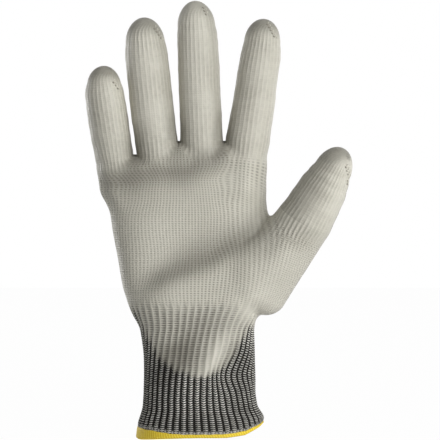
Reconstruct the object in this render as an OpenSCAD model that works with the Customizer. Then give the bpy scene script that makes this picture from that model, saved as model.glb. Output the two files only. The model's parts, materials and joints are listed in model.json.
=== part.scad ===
// Cut resistant knitted glove for the right hand, held open in the shape that a hand gives it.
// X runs across the palm with the thumb at +X, -Y is the palm side, +Z points to the fingertips.
// The origin is the centre of the wrist opening, in the plane of the hem. Millimetres.

/* [Fabric] */
// Thickness of the knitted liner
knit_wall = 1.2; // [0.8:0.1:1.6]
// Thickness of the dipped coating over the liner
coating_wall = 0.5; // [0.3:0.1:0.8]
// How far behind a finger's centre line the coating ends
coating_wrap = 4; // [1:0.5:6]
// Length of each fingertip that the coating covers all round
tip_dip = 11; // [6:0.5:14]
// Height of the middle of the round line where the coating ends on the cuff
dip_centre_height = 66; // [60:0.5:68]
// How far that line starts inside each side of the cuff
dip_inset = 1.4; // [0.4:0.2:4]

/* [Hem and cuff] */
// Width of the wrist opening's hem
hem_width = 70.6; // [66:0.2:76]
// Depth of the hem from the palm side to the back
hem_depth = 50; // [46:0.5:54]
// Height of the overlocked hem
hem_height = 5; // [3:0.5:8]
// Thickness of the overlock thread on each side of the knit
hem_thread = 0.8; // [0.5:0.1:1.2]
// Thickness of the overlock thread under the edge of the knit
hem_underside = 1; // [0.6:0.1:1.5]
// Height above the hem where the flare has run out
flare_height = 20; // [16:1:26]
// Width of the ribbed cuff
cuff_width = 63.2; // [58:0.2:68]
// Depth of the ribbed cuff
cuff_depth = 45; // [42:0.5:48]
// Height where the cuff starts to widen into the hand
cuff_height = 50; // [46:0.5:52]
// Number of elastic threads laid into the cuff
elastic_count = 5; // [2:1:6]
// Thickness of an elastic thread
elastic_size = 0.8; // [0.5:0.1:1.2]

/* [Palm] */
// Height of the wrist fold above the hem
wrist_height = 66; // [64:0.5:68]
// Reach of the wrist fold to its outer side
wrist_outer_reach = 36; // [34:0.2:38]
// Reach of the wrist fold to its thumb side
wrist_thumb_reach = 31.6; // [30.6:0.2:35]
// Depth of the hand at the wrist fold
wrist_depth = 42; // [38:0.5:45]
// Height of the middle of the heel of the hand
heel_height = 84; // [82:0.5:88]
// Reach of the heel to its outer side
heel_outer_reach = 44.4; // [41:0.1:46]
// Reach of the heel to its thumb side
heel_thumb_reach = 38; // [36:0.1:42]
// Depth of the heel from the palm side to the back
heel_depth = 37; // [34:0.5:40]
// Share of that depth that lies on the palm side
heel_palm_share = 0.54; // [0.5:0.01:0.6]
// Height of the middle of the palm
palm_height = 116; // [112:0.5:120]
// Reach of the palm to its outer side
palm_outer_reach = 49.5; // [47:0.1:52]
// Reach of the palm to its thumb side
palm_thumb_reach = 40; // [38:0.1:42]
// Depth of the palm from the palm side to the back
palm_depth = 30; // [28:0.5:33]
// Height where the palm has run into the finger roots
knuckle_height = 150; // [146:0.5:152]
// Depth of the hand at that height
knuckle_depth = 25.5; // [24:0.5:28]
// How far the hand there lies inside the outer side of the little finger's root
knuckle_outer_inset = 0.6; // [0:0.1:2]
// How far it lies inside the thumb side of the index finger's root
knuckle_thumb_inset = 1.6; // [0:0.1:3]

/* [Finger roots] */
// Height of the folds at the roots of the ring, middle and index fingers
root_height = 167; // [166:0.5:170]
// How much lower the fold of the little finger lies
little_drop = 7.5; // [6:0.5:9]
// Place of the middle finger's root across the palm
middle_place = 0.8; // [-2:0.1:3]
// Gap between the roots of the little and ring fingers at their folds
little_gap = 0.8; // [0.6:0.1:1.6]
// Gap between the roots of the ring and middle fingers
ring_gap = 1.5; // [0.6:0.1:2]
// Gap between the roots of the middle and index fingers
index_gap = 1.8; // [0.6:0.1:2.4]
// How far a web between two fingers lies below the higher of their folds
web_drop = 1.4; // [1.2:0.1:3]

/* [Little finger] */
// Height of the little finger between its root and middle folds
little_base_length = 18; // [17:0.5:22]
// Height of the little finger between its middle and end folds
little_middle_length = 15; // [14:0.5:19]
// Height of the little finger above its end fold
little_end_length = 16.2; // [15:0.5:20]
// Radius of the little finger at its root
little_root_radius = 11.2; // [10.5:0.1:12]
// Radius of the little finger's tip
little_tip_radius = 9.7; // [9:0.1:10.4]
// Lean of the little finger towards the thumb
little_lean = -7.6; // [-10:0.1:-6]

/* [Ring finger] */
// Height of the ring finger between its root and middle folds
ring_base_length = 24; // [21:0.5:28]
// Height of the ring finger between its middle and end folds
ring_middle_length = 22.5; // [18:0.5:26]
// Height of the ring finger above its end fold
ring_end_length = 22.2; // [18:0.5:26]
// Radius of the ring finger at its root
ring_root_radius = 12; // [11.2:0.1:12.8]
// Radius of the ring finger's tip
ring_tip_radius = 10.4; // [9.6:0.1:11.2]
// Lean of the ring finger towards the thumb
ring_lean = -5.4; // [-6:0.1:-4]

/* [Middle finger] */
// Height of the middle finger between its root and middle folds
middle_base_length = 28; // [23:0.5:32]
// Height of the middle finger between its middle and end folds
middle_middle_length = 25; // [20:0.5:28]
// Height of the middle finger above its end fold
middle_end_length = 25.2; // [20:0.5:28]
// Radius of the middle finger at its root
middle_root_radius = 12; // [11.2:0.1:12.8]
// Radius of the middle finger's tip
middle_tip_radius = 10.4; // [9.6:0.1:11.2]
// Lean of the middle finger towards the thumb
middle_lean = -2.2; // [-3:0.1:0]

/* [Index finger] */
// Height of the index finger between its root and middle folds
index_base_length = 24; // [21:0.5:28]
// Height of the index finger between its middle and end folds
index_middle_length = 22; // [18:0.5:26]
// Height of the index finger above its end fold
index_end_length = 22; // [18:0.5:26]
// Radius of the index finger at its root
index_root_radius = 12.3; // [11.4:0.1:13]
// Radius of the index finger's tip
index_tip_radius = 10.3; // [9.6:0.1:11.2]
// Lean of the index finger towards the thumb
index_lean = 7.4; // [6:0.1:9]

/* [Thumb] */
// Place of the thumb's root fold across the palm
thumb_place = 58.2; // [56:0.1:60]
// Height of the thumb's root fold above the hem
thumb_root_height = 121.8; // [119:0.2:125]
// How far the thumb's root fold lies in front of the palm's middle
thumb_forward = 14.5; // [12:0.5:17]
// Lean of the thumb away from the fingers
thumb_lean = 29.5; // [27:0.5:32]
// Tilt of the thumb towards the palm side
thumb_tilt = 12; // [8:0.5:16]
// Turn of the thumb's folds about its length, towards the fingers
thumb_turn = 20; // [14:1:24]
// Length of the thumb between its root and end folds
thumb_base_length = 19.5; // [18:0.5:24]
// Length of the thumb above its end fold
thumb_end_length = 27; // [25:0.5:32]
// Radius of the thumb at its root fold
thumb_root_radius = 15.8; // [14.8:0.1:16.4]
// Radius of the thumb at its end fold
thumb_end_radius = 13.7; // [12.8:0.1:14.4]
// Radius of the thumb's tip
thumb_tip_radius = 10.8; // [10:0.1:11.6]
// Length of the ball of the thumb below the root fold
thumb_ball_length = 47; // [42:0.5:50]
// Radius at the low end of the ball of the thumb
thumb_ball_radius = 13.6; // [12:0.1:14.4]

/* [Folds] */
// Bend of each finger's root fold
root_bend = 75; // [45:5:75]
// Bend of each finger's middle fold
middle_bend = 85; // [45:5:85]
// Bend of each finger's end fold
end_bend = 50; // [30:5:50]
// Bend of the thumb's root fold
thumb_root_bend = 45; // [20:5:45]
// Bend of the thumb's end fold
thumb_end_bend = 70; // [30:5:70]
// Bend of the wrist fold each way
wrist_bend = 40; // [20:5:40]
// Half of the gap that a fold keeps between the firm pieces on its two sides
fold_gap = 1; // [0.6:0.1:1.4]
// Play between a fold's knit and the firm piece before it
fold_play = 0.05; // [0.02:0.01:0.2]
// How far a finger's fold axis lies in front of its centre line
fold_forward = 3; // [1:0.5:4]
// Forward pitch of a finger's base, middle and end
finger_pitch = [3, 8, 14]; // [0:1:16]

/* [Fingertip closures] */
// Radius of the thread that closes a fingertip
closure_thread = 0.4; // [0.3:0.1:0.8]
// Arc that the closure spans over the tip
closure_arc = 70; // [40:5:90]
// Turn of the closure's middle from the top of the tip to its thumb side
closure_tilt = 36; // [20:1:50]
// Turn of the closure from the finger's middle plane to the palm side
closure_forward = 30; // [10:1:45]
// Play under the closure thread
closure_play = 0.1; // [0.05:0.05:0.3]

/* [Hidden] */

// Colours as the photo shows them
coating_color = "#c4c1b4";
knit_color = "#3a3935";
rib_color = "#2a2925";
hem_color = "#f2d235";
elastic_color = "#1c1b19";

// Steps around turned limbs and around the balls of the hulls
round_steps = 48;
hull_steps = 32;
$fn = round_steps;
// Points around a section of the hand's body, its steps between two stations and its squareness
section_points = 32;
section_steps = 2;
section_power = 2.3;
// Angle between two points of a limb's round end
tip_step = 7.5;
// How far the tools that cut the part reach past it, and the sloped sides of the folds' tools
reach = 120;
fold_size = 60;
thumb_fold_size = 26;
// How far the thumb's slot in the palm lies outside the thumb's root
thumb_slot_margin = 1.5;
// Root radii from an outer finger's middle to the far side of its slot
outer_slot_share = 1.5;
// How much thinner than the finger roots a web between them is on each side
web_slack = 1;
// How far the body's form runs below its open end, and a limb's wall past its folds
open_end = 1;
limb_overrun = 3;
// How far a finger fold's form runs along each of the pieces that it joins, before it is cut
fold_run = 12;

// Depths below the outer surface of the coated glove
coating_top = 0;
liner_top = -coating_wall;
liner_inside = -coating_wall - knit_wall;

LITTLE = 0;
RING = 1;
MIDDLE = 2;
INDEX = 3;

finger_lean = [little_lean, ring_lean, middle_lean, index_lean];
finger_root_radius = [little_root_radius, ring_root_radius, middle_root_radius, index_root_radius];
finger_tip_radius = [little_tip_radius, ring_tip_radius, middle_tip_radius, index_tip_radius];
finger_root_height = [root_height - little_drop, root_height, root_height, root_height];
finger_lengths = [
    [little_base_length, little_middle_length, little_end_length],
    [ring_base_length, ring_middle_length, ring_end_length],
    [middle_base_length, middle_middle_length, middle_end_length],
    [index_base_length, index_middle_length, index_end_length],
];

// Root centres side by side across the palm, counted from the middle finger
ring_place = middle_place - middle_root_radius - ring_gap - ring_root_radius;
little_place = ring_place - ring_root_radius - little_gap - little_root_radius;
index_place = middle_place + middle_root_radius + index_gap + index_root_radius;
finger_place = [little_place, ring_place, middle_place, index_place];
// The planes halfway between two finger roots, with one beyond each end
finger_planes = [
    little_place - outer_slot_share * little_root_radius,
    ring_place - ring_root_radius - little_gap / 2,
    middle_place - middle_root_radius - ring_gap / 2,
    middle_place + middle_root_radius + index_gap / 2,
    index_place + outer_slot_share * index_root_radius,
];

// A finger narrows most in its end, so the folds take these shares of the whole taper
taper_shares = [0, 0.1, 0.45, 1];
// Pitch of the fold planes, between the pitches of the two pieces that a fold joins
fold_pitch = [0, (finger_pitch[0] + finger_pitch[1]) / 2, (finger_pitch[1] + finger_pitch[2]) / 2];
finger_bends = [root_bend, middle_bend, end_bend];

function finger_radius(f, k) =
    finger_root_radius[f] + (finger_tip_radius[f] - finger_root_radius[f]) * taper_shares[k];
function finger_step(f, k) =
    let (rise = finger_lengths[f][k] - (k == 2 ? finger_tip_radius[f] : 0))
    rise * [tan(finger_lean[f]), -tan(finger_pitch[k]), 1];
// Centre of fold k of finger f, with k = 3 for the centre of its tip
function finger_centre(f, k) =
    k == 0
        ? [finger_place[f], 0, finger_root_height[f]]
        : finger_centre(f, k - 1) + finger_step(f, k - 1);
// A finger's root runs down inside the palm as far as this below its fold, and narrows by this
stub_length = 24;
stub_taper = 5;
function stub_centre(f) = finger_centre(f, 0) - stub_length * [tan(finger_lean[f]), 0, 1];

// The dip line of the coating on the cuff is the lower half of a circle
dip_radius = cuff_width / 2 - dip_inset;

// Halfway up its height the flare still has this share of its spread
flare_share = 0.8;
flare_width = cuff_width + (hem_width - cuff_width) * flare_share;
flare_depth = cuff_depth + (hem_depth - cuff_depth) * flare_share;

// Stations of the hand's body: height, outer side, thumb side, palm side, back
body_stations = [
    [0, -hem_width / 2, hem_width / 2, -hem_depth / 2, hem_depth / 2],
    [flare_height / 2, -flare_width / 2, flare_width / 2, -flare_depth / 2, flare_depth / 2],
    [flare_height, -cuff_width / 2, cuff_width / 2, -cuff_depth / 2, cuff_depth / 2],
    [cuff_height, -cuff_width / 2, cuff_width / 2, -cuff_depth / 2, cuff_depth / 2],
    [wrist_height, -wrist_outer_reach, wrist_thumb_reach, -wrist_depth / 2, wrist_depth / 2],
    [heel_height, -heel_outer_reach, heel_thumb_reach,
        -heel_depth * heel_palm_share, heel_depth * (1 - heel_palm_share)],
    [palm_height, -palm_outer_reach, palm_thumb_reach, -palm_depth / 2, palm_depth / 2],
    [knuckle_height, little_place - little_root_radius + knuckle_outer_inset,
        index_place + index_root_radius - knuckle_thumb_inset, -knuckle_depth / 2, knuckle_depth / 2],
];

function blend_between(a, b, t) = a + (b - a) * (1 - cos(180 * t)) / 2;
body_sections = [
    for (k = [0 : len(body_stations) - 2])
        for (i = [0 : section_steps - 1])
            let (t = i / section_steps, a = body_stations[k], b = body_stations[k + 1])
            [a[0] + (b[0] - a[0]) * t, for (j = [1 : 4]) blend_between(a[j], b[j], t)],
    body_stations[len(body_stations) - 1],
];

hem_sections = [for (s = body_sections) if (s[0] <= flare_height) s];
cuff_sections = [for (s = body_sections) if (s[0] <= heel_height) s];

function signed_power(value, power) = sign(value) * pow(abs(value), power);
function oval(section, depth) =
    let (half_x = (section[2] - section[1]) / 2 + depth, half_y = (section[4] - section[3]) / 2 + depth)
    [for (i = [0 : section_points - 1]) let (angle = 360 * i / section_points)
        [(section[1] + section[2]) / 2 + half_x * signed_power(cos(angle), 2 / section_power),
         (section[3] + section[4]) / 2 + half_y * signed_power(sin(angle), 2 / section_power)]];

// A solid through closed rings of points, each with section_points of them, the lowest ring first
module loft(rings) {
    last = len(rings) - 1;
    points = [for (ring = rings) for (p = ring) p];
    sides = [
        for (k = [0 : last - 1]) for (i = [0 : section_points - 1])
            let (a = k * section_points, b = a + section_points, next = (i + 1) % section_points)
            [a + i, b + i, b + next, a + next]
    ];
    low_cap = [for (i = [0 : section_points - 1]) i];
    high_cap = [for (i = [section_points - 1 : -1 : 0]) last * section_points + i];
    polyhedron(points, concat([low_cap], sides, [high_cap]), convexity = 6);
}

// The hand's body from below the hem through the given sections, its surface moved out by depth
module body_form(depth, sections) {
    last = len(sections) - 1;
    heights = [for (k = [0 : last]) k == 0 ? -open_end : sections[k][0] + (k == last ? depth : 0)];
    loft([for (k = [0 : last]) [for (p = oval(sections[k], depth)) [p[0], p[1], heights[k]]]]);
}

// The wall of a round limb between two centres, from its depth top in to its depth inside.
// It runs past both centres, and the folds' tools cut it to length.
module limb_wall(from, to, from_radius, to_radius, top, inside) {
    way = to - from;
    size = norm(way);
    slope = (to_radius - from_radius) / size;
    low = -limb_overrun;
    high = size + limb_overrun;
    translate(from) rotate([0, acos(way[2] / size), atan2(way[1], way[0])])
        rotate_extrude()
            polygon([
                [from_radius + slope * low + inside, low],
                [from_radius + slope * low + top, low],
                [to_radius + slope * limb_overrun + top, high],
                [to_radius + slope * limb_overrun + inside, high],
            ]);
}

// The wall of a limb's end, closed by a round tip about the second centre
module tip_wall(from, to, from_radius, tip_radius, top, inside) {
    way = to - from;
    size = norm(way);
    slope = (tip_radius - from_radius) / size;
    low = -limb_overrun;
    translate(from) rotate([0, acos(way[2] / size), atan2(way[1], way[0])])
        rotate_extrude()
            polygon(concat(
                [[from_radius + slope * low + inside, low], [from_radius + slope * low + top, low]],
                [for (a = [0 : tip_step : 90]) [0, size] + (tip_radius + top) * [cos(a), sin(a)]],
                [for (a = [90 : -tip_step : 0]) [0, size] + (tip_radius + inside) * [cos(a), sin(a)]]
            ));
}

// The wall of piece k of finger f
module finger_layer(f, k, top, inside) {
    if (k < 2)
        limb_wall(finger_centre(f, k), finger_centre(f, k + 1), finger_radius(f, k),
            finger_radius(f, k + 1), top, inside);
    else
        tip_wall(finger_centre(f, 2), finger_centre(f, 3), finger_radius(f, 2), finger_radius(f, 3),
            top, inside);
}

// A round ring of points about a centre, square to a way
function round_ring(centre, way, radius) =
    let (z = way / norm(way), y = cross(z, [1, 0, 0]), y_unit = y / norm(y), x_unit = cross(y_unit, z))
    [for (i = [0 : section_points - 1]) let (angle = 360 * i / section_points)
        centre + radius * (cos(angle) * x_unit + sin(angle) * y_unit)];

// Finger f about its fold k, bent as its two pieces are, for the given run along each of them
module bent_form(f, k, depth, run) {
    before = finger_step(f, k - 1);
    after = finger_step(f, k);
    slope_before = (finger_radius(f, k) - finger_radius(f, k - 1)) / norm(before);
    slope_after = (finger_radius(f, k + 1) - finger_radius(f, k)) / norm(after);
    way_before = before / norm(before);
    way_after = after / norm(after);
    centre = finger_centre(f, k);
    radius = finger_radius(f, k) + depth;
    loft([
        round_ring(centre - run * way_before, way_before, radius - run * slope_before),
        round_ring(centre, way_before + way_after, radius),
        round_ring(centre + run * way_after, way_after, radius + run * slope_after),
    ]);
}

// The wall of piece k of the thumb, in its own frame: k = 0 for its base and 1 for its end
module thumb_layer(k, top, inside) {
    if (k == 0)
        limb_wall([0, 0, 0], [0, 0, thumb_base_length], thumb_root_radius, thumb_end_radius, top, inside);
    else
        tip_wall([0, 0, thumb_base_length], [0, 0, thumb_base_length + thumb_end_length - thumb_tip_radius],
            thumb_end_radius, thumb_tip_radius, top, inside);
}

// Moves its children into the thumb: origin at the root fold, Z along the thumb, -Y the way it bends
module in_thumb() {
    translate([thumb_place, -thumb_forward, thumb_root_height])
        rotate([thumb_tilt, thumb_lean, 0])
            rotate([0, 0, -thumb_turn])
                children();
}

module ball(radius) {
    sphere(radius, $fn = hull_steps);
}

// The root of finger f, from inside the palm to past its root fold
module finger_root(f, depth) {
    hull() {
        translate(stub_centre(f)) ball(finger_radius(f, 0) - stub_taper + depth);
        translate(finger_centre(f, 0)) ball(finger_radius(f, 0) + depth);
        translate(finger_centre(f, 1)) ball(finger_radius(f, 1) + depth);
    }
}

// The thumb's root: from past its root fold down over the ball of the thumb
module thumb_root(depth) {
    hull() {
        in_thumb() translate([0, 0, thumb_base_length]) ball(thumb_end_radius + depth);
        in_thumb() ball(thumb_root_radius + depth);
    }
    hull() {
        in_thumb() ball(thumb_root_radius + depth);
        in_thumb() translate([0, 0, -thumb_ball_length]) ball(thumb_ball_radius + depth);
    }
}

// The hand without its limbs: body, finger roots, webs and the thumb's root
module hand_form(depth) {
    body_form(depth, body_sections);
    for (f = [LITTLE : INDEX])
        finger_root(f, depth);
    for (f = [LITTLE : MIDDLE])
        web(f, depth);
    thumb_root(depth);
}

// Height of the web above finger f, and a finger's place across the palm at a height
function web_height(f) = finger_root_height[f] - web_drop;
function stub_place(f, height) =
    finger_place[f] + (height - finger_root_height[f]) * tan(finger_lean[f]);

// The web between finger f and the next one
module web(f, depth) {
    hull()
        for (side = [f, f + 1]) {
            radius = finger_radius(side, 0) - web_slack;
            for (height = [knuckle_height - 2 * radius, web_height(f) - radius])
                translate([stub_place(side, height), 0, height]) ball(radius + depth);
        }
}

// Solids in a fold's own frame: origin on its axis along X, -Y the way it bends, Z along the limb.
// The firm piece beyond a fold lies in far_side; past_near is all that the piece before it leaves free,
// and the fold's own knit keeps a little play from that piece.
module fold_tool(outline, width) {
    rotate([90, 0, 90]) linear_extrude(width, center = true) polygon(outline);
}

module far_side(bend, width, size) {
    slope = tan(bend / 2) * size;
    fold_tool([
        [size, fold_gap], [0, fold_gap], [-size, fold_gap + slope],
        [-size, reach], [size, reach],
    ], width);
}

module past_near(bend, width, size, play = 0) {
    near = fold_gap - play;
    slope = tan(bend / 2) * size;
    fold_tool([
        [size, -near], [0, -near], [-size, -near - slope],
        [-size, reach], [size, reach],
    ], width);
}

// Moves its children to fold k of finger f
module in_fold(f, k) {
    translate(finger_centre(f, k))
        rotate([fold_pitch[k], 0, 0])
            translate([0, -fold_forward, 0]) children();
}

module past_fold(f, k, play = 0) {
    in_fold(f, k) past_near(finger_bends[k], reach, fold_size, play);
}

module beyond_fold(f, k) {
    in_fold(f, k) far_side(finger_bends[k], reach, fold_size);
}

// What the palm leaves free for finger f: past its root fold, between the planes to its neighbours
module finger_slot(f, play = 0) {
    low = finger_planes[f] + play;
    high = finger_planes[f + 1] - play;
    translate([(low + high) / 2, -fold_forward, finger_root_height[f]])
        past_near(root_bend, high - low, fold_size, play);
}

module thumb_slot(play = 0) {
    in_thumb() translate([0, -fold_forward, 0])
        past_near(thumb_root_bend, 2 * (thumb_root_radius + thumb_slot_margin - play),
            thumb_fold_size, play);
}

module beyond_thumb_root() {
    in_thumb() translate([0, -fold_forward, 0]) far_side(thumb_root_bend, reach, fold_size);
}

module thumb_end_frame() {
    in_thumb() translate([0, -fold_forward, thumb_base_length]) children();
}

// The wrist bends both ways, so its fold opens to the palm side and to the back
wrist_slope = tan(wrist_bend / 2) * reach;
module past_wrist(play = 0) {
    near = fold_gap - play;
    translate([0, 0, wrist_height])
        fold_tool([
            [reach, -near - wrist_slope], [0, -near], [-reach, -near - wrist_slope],
            [-reach, 2 * reach], [reach, 2 * reach],
        ], 2 * reach);
}

module beyond_wrist() {
    translate([0, 0, wrist_height])
        fold_tool([
            [reach, fold_gap + wrist_slope], [0, fold_gap], [-reach, fold_gap + wrist_slope],
            [-reach, 2 * reach], [reach, 2 * reach],
        ], 2 * reach);
}

// Everything that the coating's dip reaches on the hand's body: its palm side, down to the dip line
module dipped_body() {
    translate([0, coating_wrap, 0]) rotate([90, 0, 0]) linear_extrude(reach) {
        translate([-reach, dip_centre_height]) square([2 * reach, 2 * reach]);
        translate([0, dip_centre_height]) circle(dip_radius);
    }
}

// What the dip reaches on piece k of finger f; the tip is covered all round
module dipped_finger(f, k) {
    translate(finger_centre(f, k)) rotate([finger_pitch[k], 0, 0])
        translate([-reach / 2, coating_wrap - reach, -reach / 2]) cube(reach);
    if (k == 2)
        translate(finger_centre(f, 3))
            translate([-reach / 2, -reach / 2, finger_tip_radius[f] - tip_dip]) cube(reach);
}

module dipped_thumb(is_tip) {
    in_thumb() rotate([0, 0, thumb_turn])
        translate([-reach / 2, coating_wrap - reach, -reach / 2]) cube(reach);
    if (is_tip)
        in_thumb()
            translate([-reach / 2, -reach / 2, thumb_base_length + thumb_end_length - tip_dip])
                cube(reach);
}

// The fabric layers, each between two depths of a form
module hand_layer(top, inside) {
    difference() {
        hand_form(top);
        hand_form(inside);
    }
}

module body_layer(top, inside, sections) {
    difference() {
        body_form(top, sections);
        body_form(inside, sections);
    }
}

module above(height) {
    translate([-reach, -reach, height]) cube([2 * reach, 2 * reach, 3 * reach]);
}

module below(height) {
    translate([-reach, -reach, height - 3 * reach]) cube([2 * reach, 2 * reach, 3 * reach]);
}

// The stitched hem, a channel of thread around the edge of the knit
module hem_overlock() {
    color(hem_color)
        difference() {
            body_layer(hem_thread, liner_inside - hem_thread, hem_sections);
            below(0);
            above(hem_height);
            difference() {
                body_layer(liner_top, liner_inside, hem_sections);
                below(hem_underside);
            }
        }
}

module cuff_knit() {
    color(rib_color)
        difference() {
            body_layer(liner_top, liner_inside, cuff_sections);
            below(hem_underside);
            past_wrist();
        }
}

// Elastic threads laid along the inside of the cuff, where its section stays the same
module cuff_elastic() {
    straight = body_stations[2];
    spacing = (cuff_height - flare_height) / elastic_count;
    color(elastic_color)
        for (i = [0 : elastic_count - 1])
            translate([0, 0, flare_height + (i + 0.5) * spacing - elastic_size / 2])
                linear_extrude(elastic_size)
                    difference() {
                        polygon(oval(straight, liner_inside));
                        polygon(oval(straight, liner_inside - elastic_size));
                    }
}

module cuff_coating() {
    color(coating_color)
        difference() {
            intersection() {
                body_layer(coating_top, liner_top, cuff_sections);
                dipped_body();
            }
            past_wrist();
        }
}

// A fold is the soft knit and its coating in one, as thick as both
module wrist_fold() {
    color(coating_color)
        difference() {
            intersection() {
                hand_layer(coating_top, liner_inside);
                past_wrist(fold_play);
            }
            beyond_wrist();
        }
}

// What is cut from the palm for the fingers and the thumb
module limb_slots() {
    for (f = [LITTLE : INDEX])
        finger_slot(f);
    thumb_slot();
}

module palm_liner() {
    color(knit_color)
        difference() {
            intersection() {
                hand_layer(liner_top, liner_inside);
                beyond_wrist();
            }
            limb_slots();
        }
}

module palm_coating() {
    color(coating_color)
        difference() {
            intersection() {
                hand_layer(coating_top, liner_top);
                dipped_body();
                beyond_wrist();
            }
            limb_slots();
        }
}

// The finger's own root and the webs beside it, between its slot's planes
module root_fold(f) {
    color(coating_color)
        difference() {
            intersection() {
                difference() {
                    finger_root_and_webs(f, coating_top);
                    finger_root_and_webs(f, liner_inside);
                }
                finger_slot(f, fold_play);
            }
            beyond_fold(f, 0);
        }
}

module finger_root_and_webs(f, depth) {
    finger_root(f, depth);
    if (f > LITTLE) web(f - 1, depth);
    if (f < INDEX) web(f, depth);
}

// The firm liner piece of finger f beyond fold k
module finger_liner(f, k) {
    color(knit_color)
        difference() {
            intersection() {
                finger_layer(f, k, liner_top, liner_inside);
                beyond_fold(f, k);
            }
            if (k < 2) past_fold(f, k + 1);
        }
}

module finger_coating(f, k) {
    color(coating_color)
        difference() {
            intersection() {
                finger_layer(f, k, coating_top, liner_top);
                dipped_finger(f, k);
                beyond_fold(f, k);
            }
            if (k < 2) past_fold(f, k + 1);
        }
}

// The soft knit of fold k of finger f, past its root
module finger_fold(f, k) {
    color(coating_color)
        difference() {
            intersection() {
                difference() {
                    bent_form(f, k, coating_top, fold_run);
                    bent_form(f, k, liner_inside, fold_run + open_end);
                }
                past_fold(f, k, fold_play);
            }
            beyond_fold(f, k);
        }
}

// The thread that closes a tip, lying over a ball of the given radius
module closure(radius) {
    color(knit_color)
        rotate([closure_forward, 0, 0])
            rotate([90, closure_tilt + closure_arc / 2 - 90, 0])
                rotate_extrude(angle = closure_arc)
                    translate([radius + closure_thread + closure_play, 0]) circle(closure_thread);
}

module finger_closure(f) {
    translate(finger_centre(f, 3)) closure(finger_tip_radius[f]);
}

module thumb_root_fold() {
    color(coating_color)
        difference() {
            intersection() {
                difference() {
                    thumb_root(coating_top);
                    thumb_root(liner_inside);
                }
                thumb_slot(fold_play);
            }
            beyond_thumb_root();
        }
}

module past_thumb_end(play = 0) {
    thumb_end_frame() past_near(thumb_end_bend, reach, fold_size, play);
}

module beyond_thumb_end() {
    thumb_end_frame() far_side(thumb_end_bend, reach, fold_size);
}

module thumb_base_liner() {
    color(knit_color)
        difference() {
            intersection() {
                in_thumb() thumb_layer(0, liner_top, liner_inside);
                beyond_thumb_root();
            }
            past_thumb_end();
        }
}

module thumb_base_coating() {
    color(coating_color)
        difference() {
            intersection() {
                in_thumb() thumb_layer(0, coating_top, liner_top);
                dipped_thumb(false);
                beyond_thumb_root();
            }
            past_thumb_end();
        }
}

// The thumb is straight at its end fold, so its two walls meet at the fold's middle plane
module thumb_end_fold() {
    color(coating_color) {
        difference() {
            intersection() {
                in_thumb() thumb_layer(0, coating_top, liner_inside);
                past_thumb_end(fold_play);
            }
            in_thumb() above(thumb_base_length);
        }
        difference() {
            intersection() {
                in_thumb() thumb_layer(1, coating_top, liner_inside);
                in_thumb() above(thumb_base_length);
            }
            beyond_thumb_end();
        }
    }
}

module thumb_tip_liner() {
    color(knit_color)
        intersection() {
            in_thumb() thumb_layer(1, liner_top, liner_inside);
            beyond_thumb_end();
        }
}

module thumb_tip_coating() {
    color(coating_color)
        intersection() {
            in_thumb() thumb_layer(1, coating_top, liner_top);
            dipped_thumb(true);
            beyond_thumb_end();
        }
}

module thumb_tip_closure() {
    in_thumb() translate([0, 0, thumb_base_length + thumb_end_length - thumb_tip_radius])
        closure(thumb_tip_radius);
}

hem_overlock();
cuff_knit();
cuff_elastic();
cuff_coating();
wrist_fold();
palm_liner();
palm_coating();

root_fold(LITTLE);  // little_root_fold
finger_liner(LITTLE, 0);  // little_base_liner
finger_coating(LITTLE, 0);  // little_base_coating
finger_fold(LITTLE, 1);  // little_middle_fold
finger_liner(LITTLE, 1);  // little_middle_liner
finger_coating(LITTLE, 1);  // little_middle_coating
finger_fold(LITTLE, 2);  // little_end_fold
finger_liner(LITTLE, 2);  // little_tip_liner
finger_coating(LITTLE, 2);  // little_tip_coating
finger_closure(LITTLE);  // little_tip_closure

root_fold(RING);  // ring_root_fold
finger_liner(RING, 0);  // ring_base_liner
finger_coating(RING, 0);  // ring_base_coating
finger_fold(RING, 1);  // ring_middle_fold
finger_liner(RING, 1);  // ring_middle_liner
finger_coating(RING, 1);  // ring_middle_coating
finger_fold(RING, 2);  // ring_end_fold
finger_liner(RING, 2);  // ring_tip_liner
finger_coating(RING, 2);  // ring_tip_coating
finger_closure(RING);  // ring_tip_closure

root_fold(MIDDLE);  // middle_root_fold
finger_liner(MIDDLE, 0);  // middle_base_liner
finger_coating(MIDDLE, 0);  // middle_base_coating
finger_fold(MIDDLE, 1);  // middle_middle_fold
finger_liner(MIDDLE, 1);  // middle_middle_liner
finger_coating(MIDDLE, 1);  // middle_middle_coating
finger_fold(MIDDLE, 2);  // middle_end_fold
finger_liner(MIDDLE, 2);  // middle_tip_liner
finger_coating(MIDDLE, 2);  // middle_tip_coating
finger_closure(MIDDLE);  // middle_tip_closure

root_fold(INDEX);  // index_root_fold
finger_liner(INDEX, 0);  // index_base_liner
finger_coating(INDEX, 0);  // index_base_coating
finger_fold(INDEX, 1);  // index_middle_fold
finger_liner(INDEX, 1);  // index_middle_liner
finger_coating(INDEX, 1);  // index_middle_coating
finger_fold(INDEX, 2);  // index_end_fold
finger_liner(INDEX, 2);  // index_tip_liner
finger_coating(INDEX, 2);  // index_tip_coating
finger_closure(INDEX);  // index_tip_closure

thumb_root_fold();
thumb_base_liner();
thumb_base_coating();
thumb_end_fold();
thumb_tip_liner();
thumb_tip_coating();
thumb_tip_closure();
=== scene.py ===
"""Looks of the cut resistant glove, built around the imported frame.

Shapes are worked out in millimetres in the row frame, and each mesh is made in metres.
"""

import json
import math

import bmesh
import bpy
import numpy as np
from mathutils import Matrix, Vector
from mathutils.bvhtree import BVHTree

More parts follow.
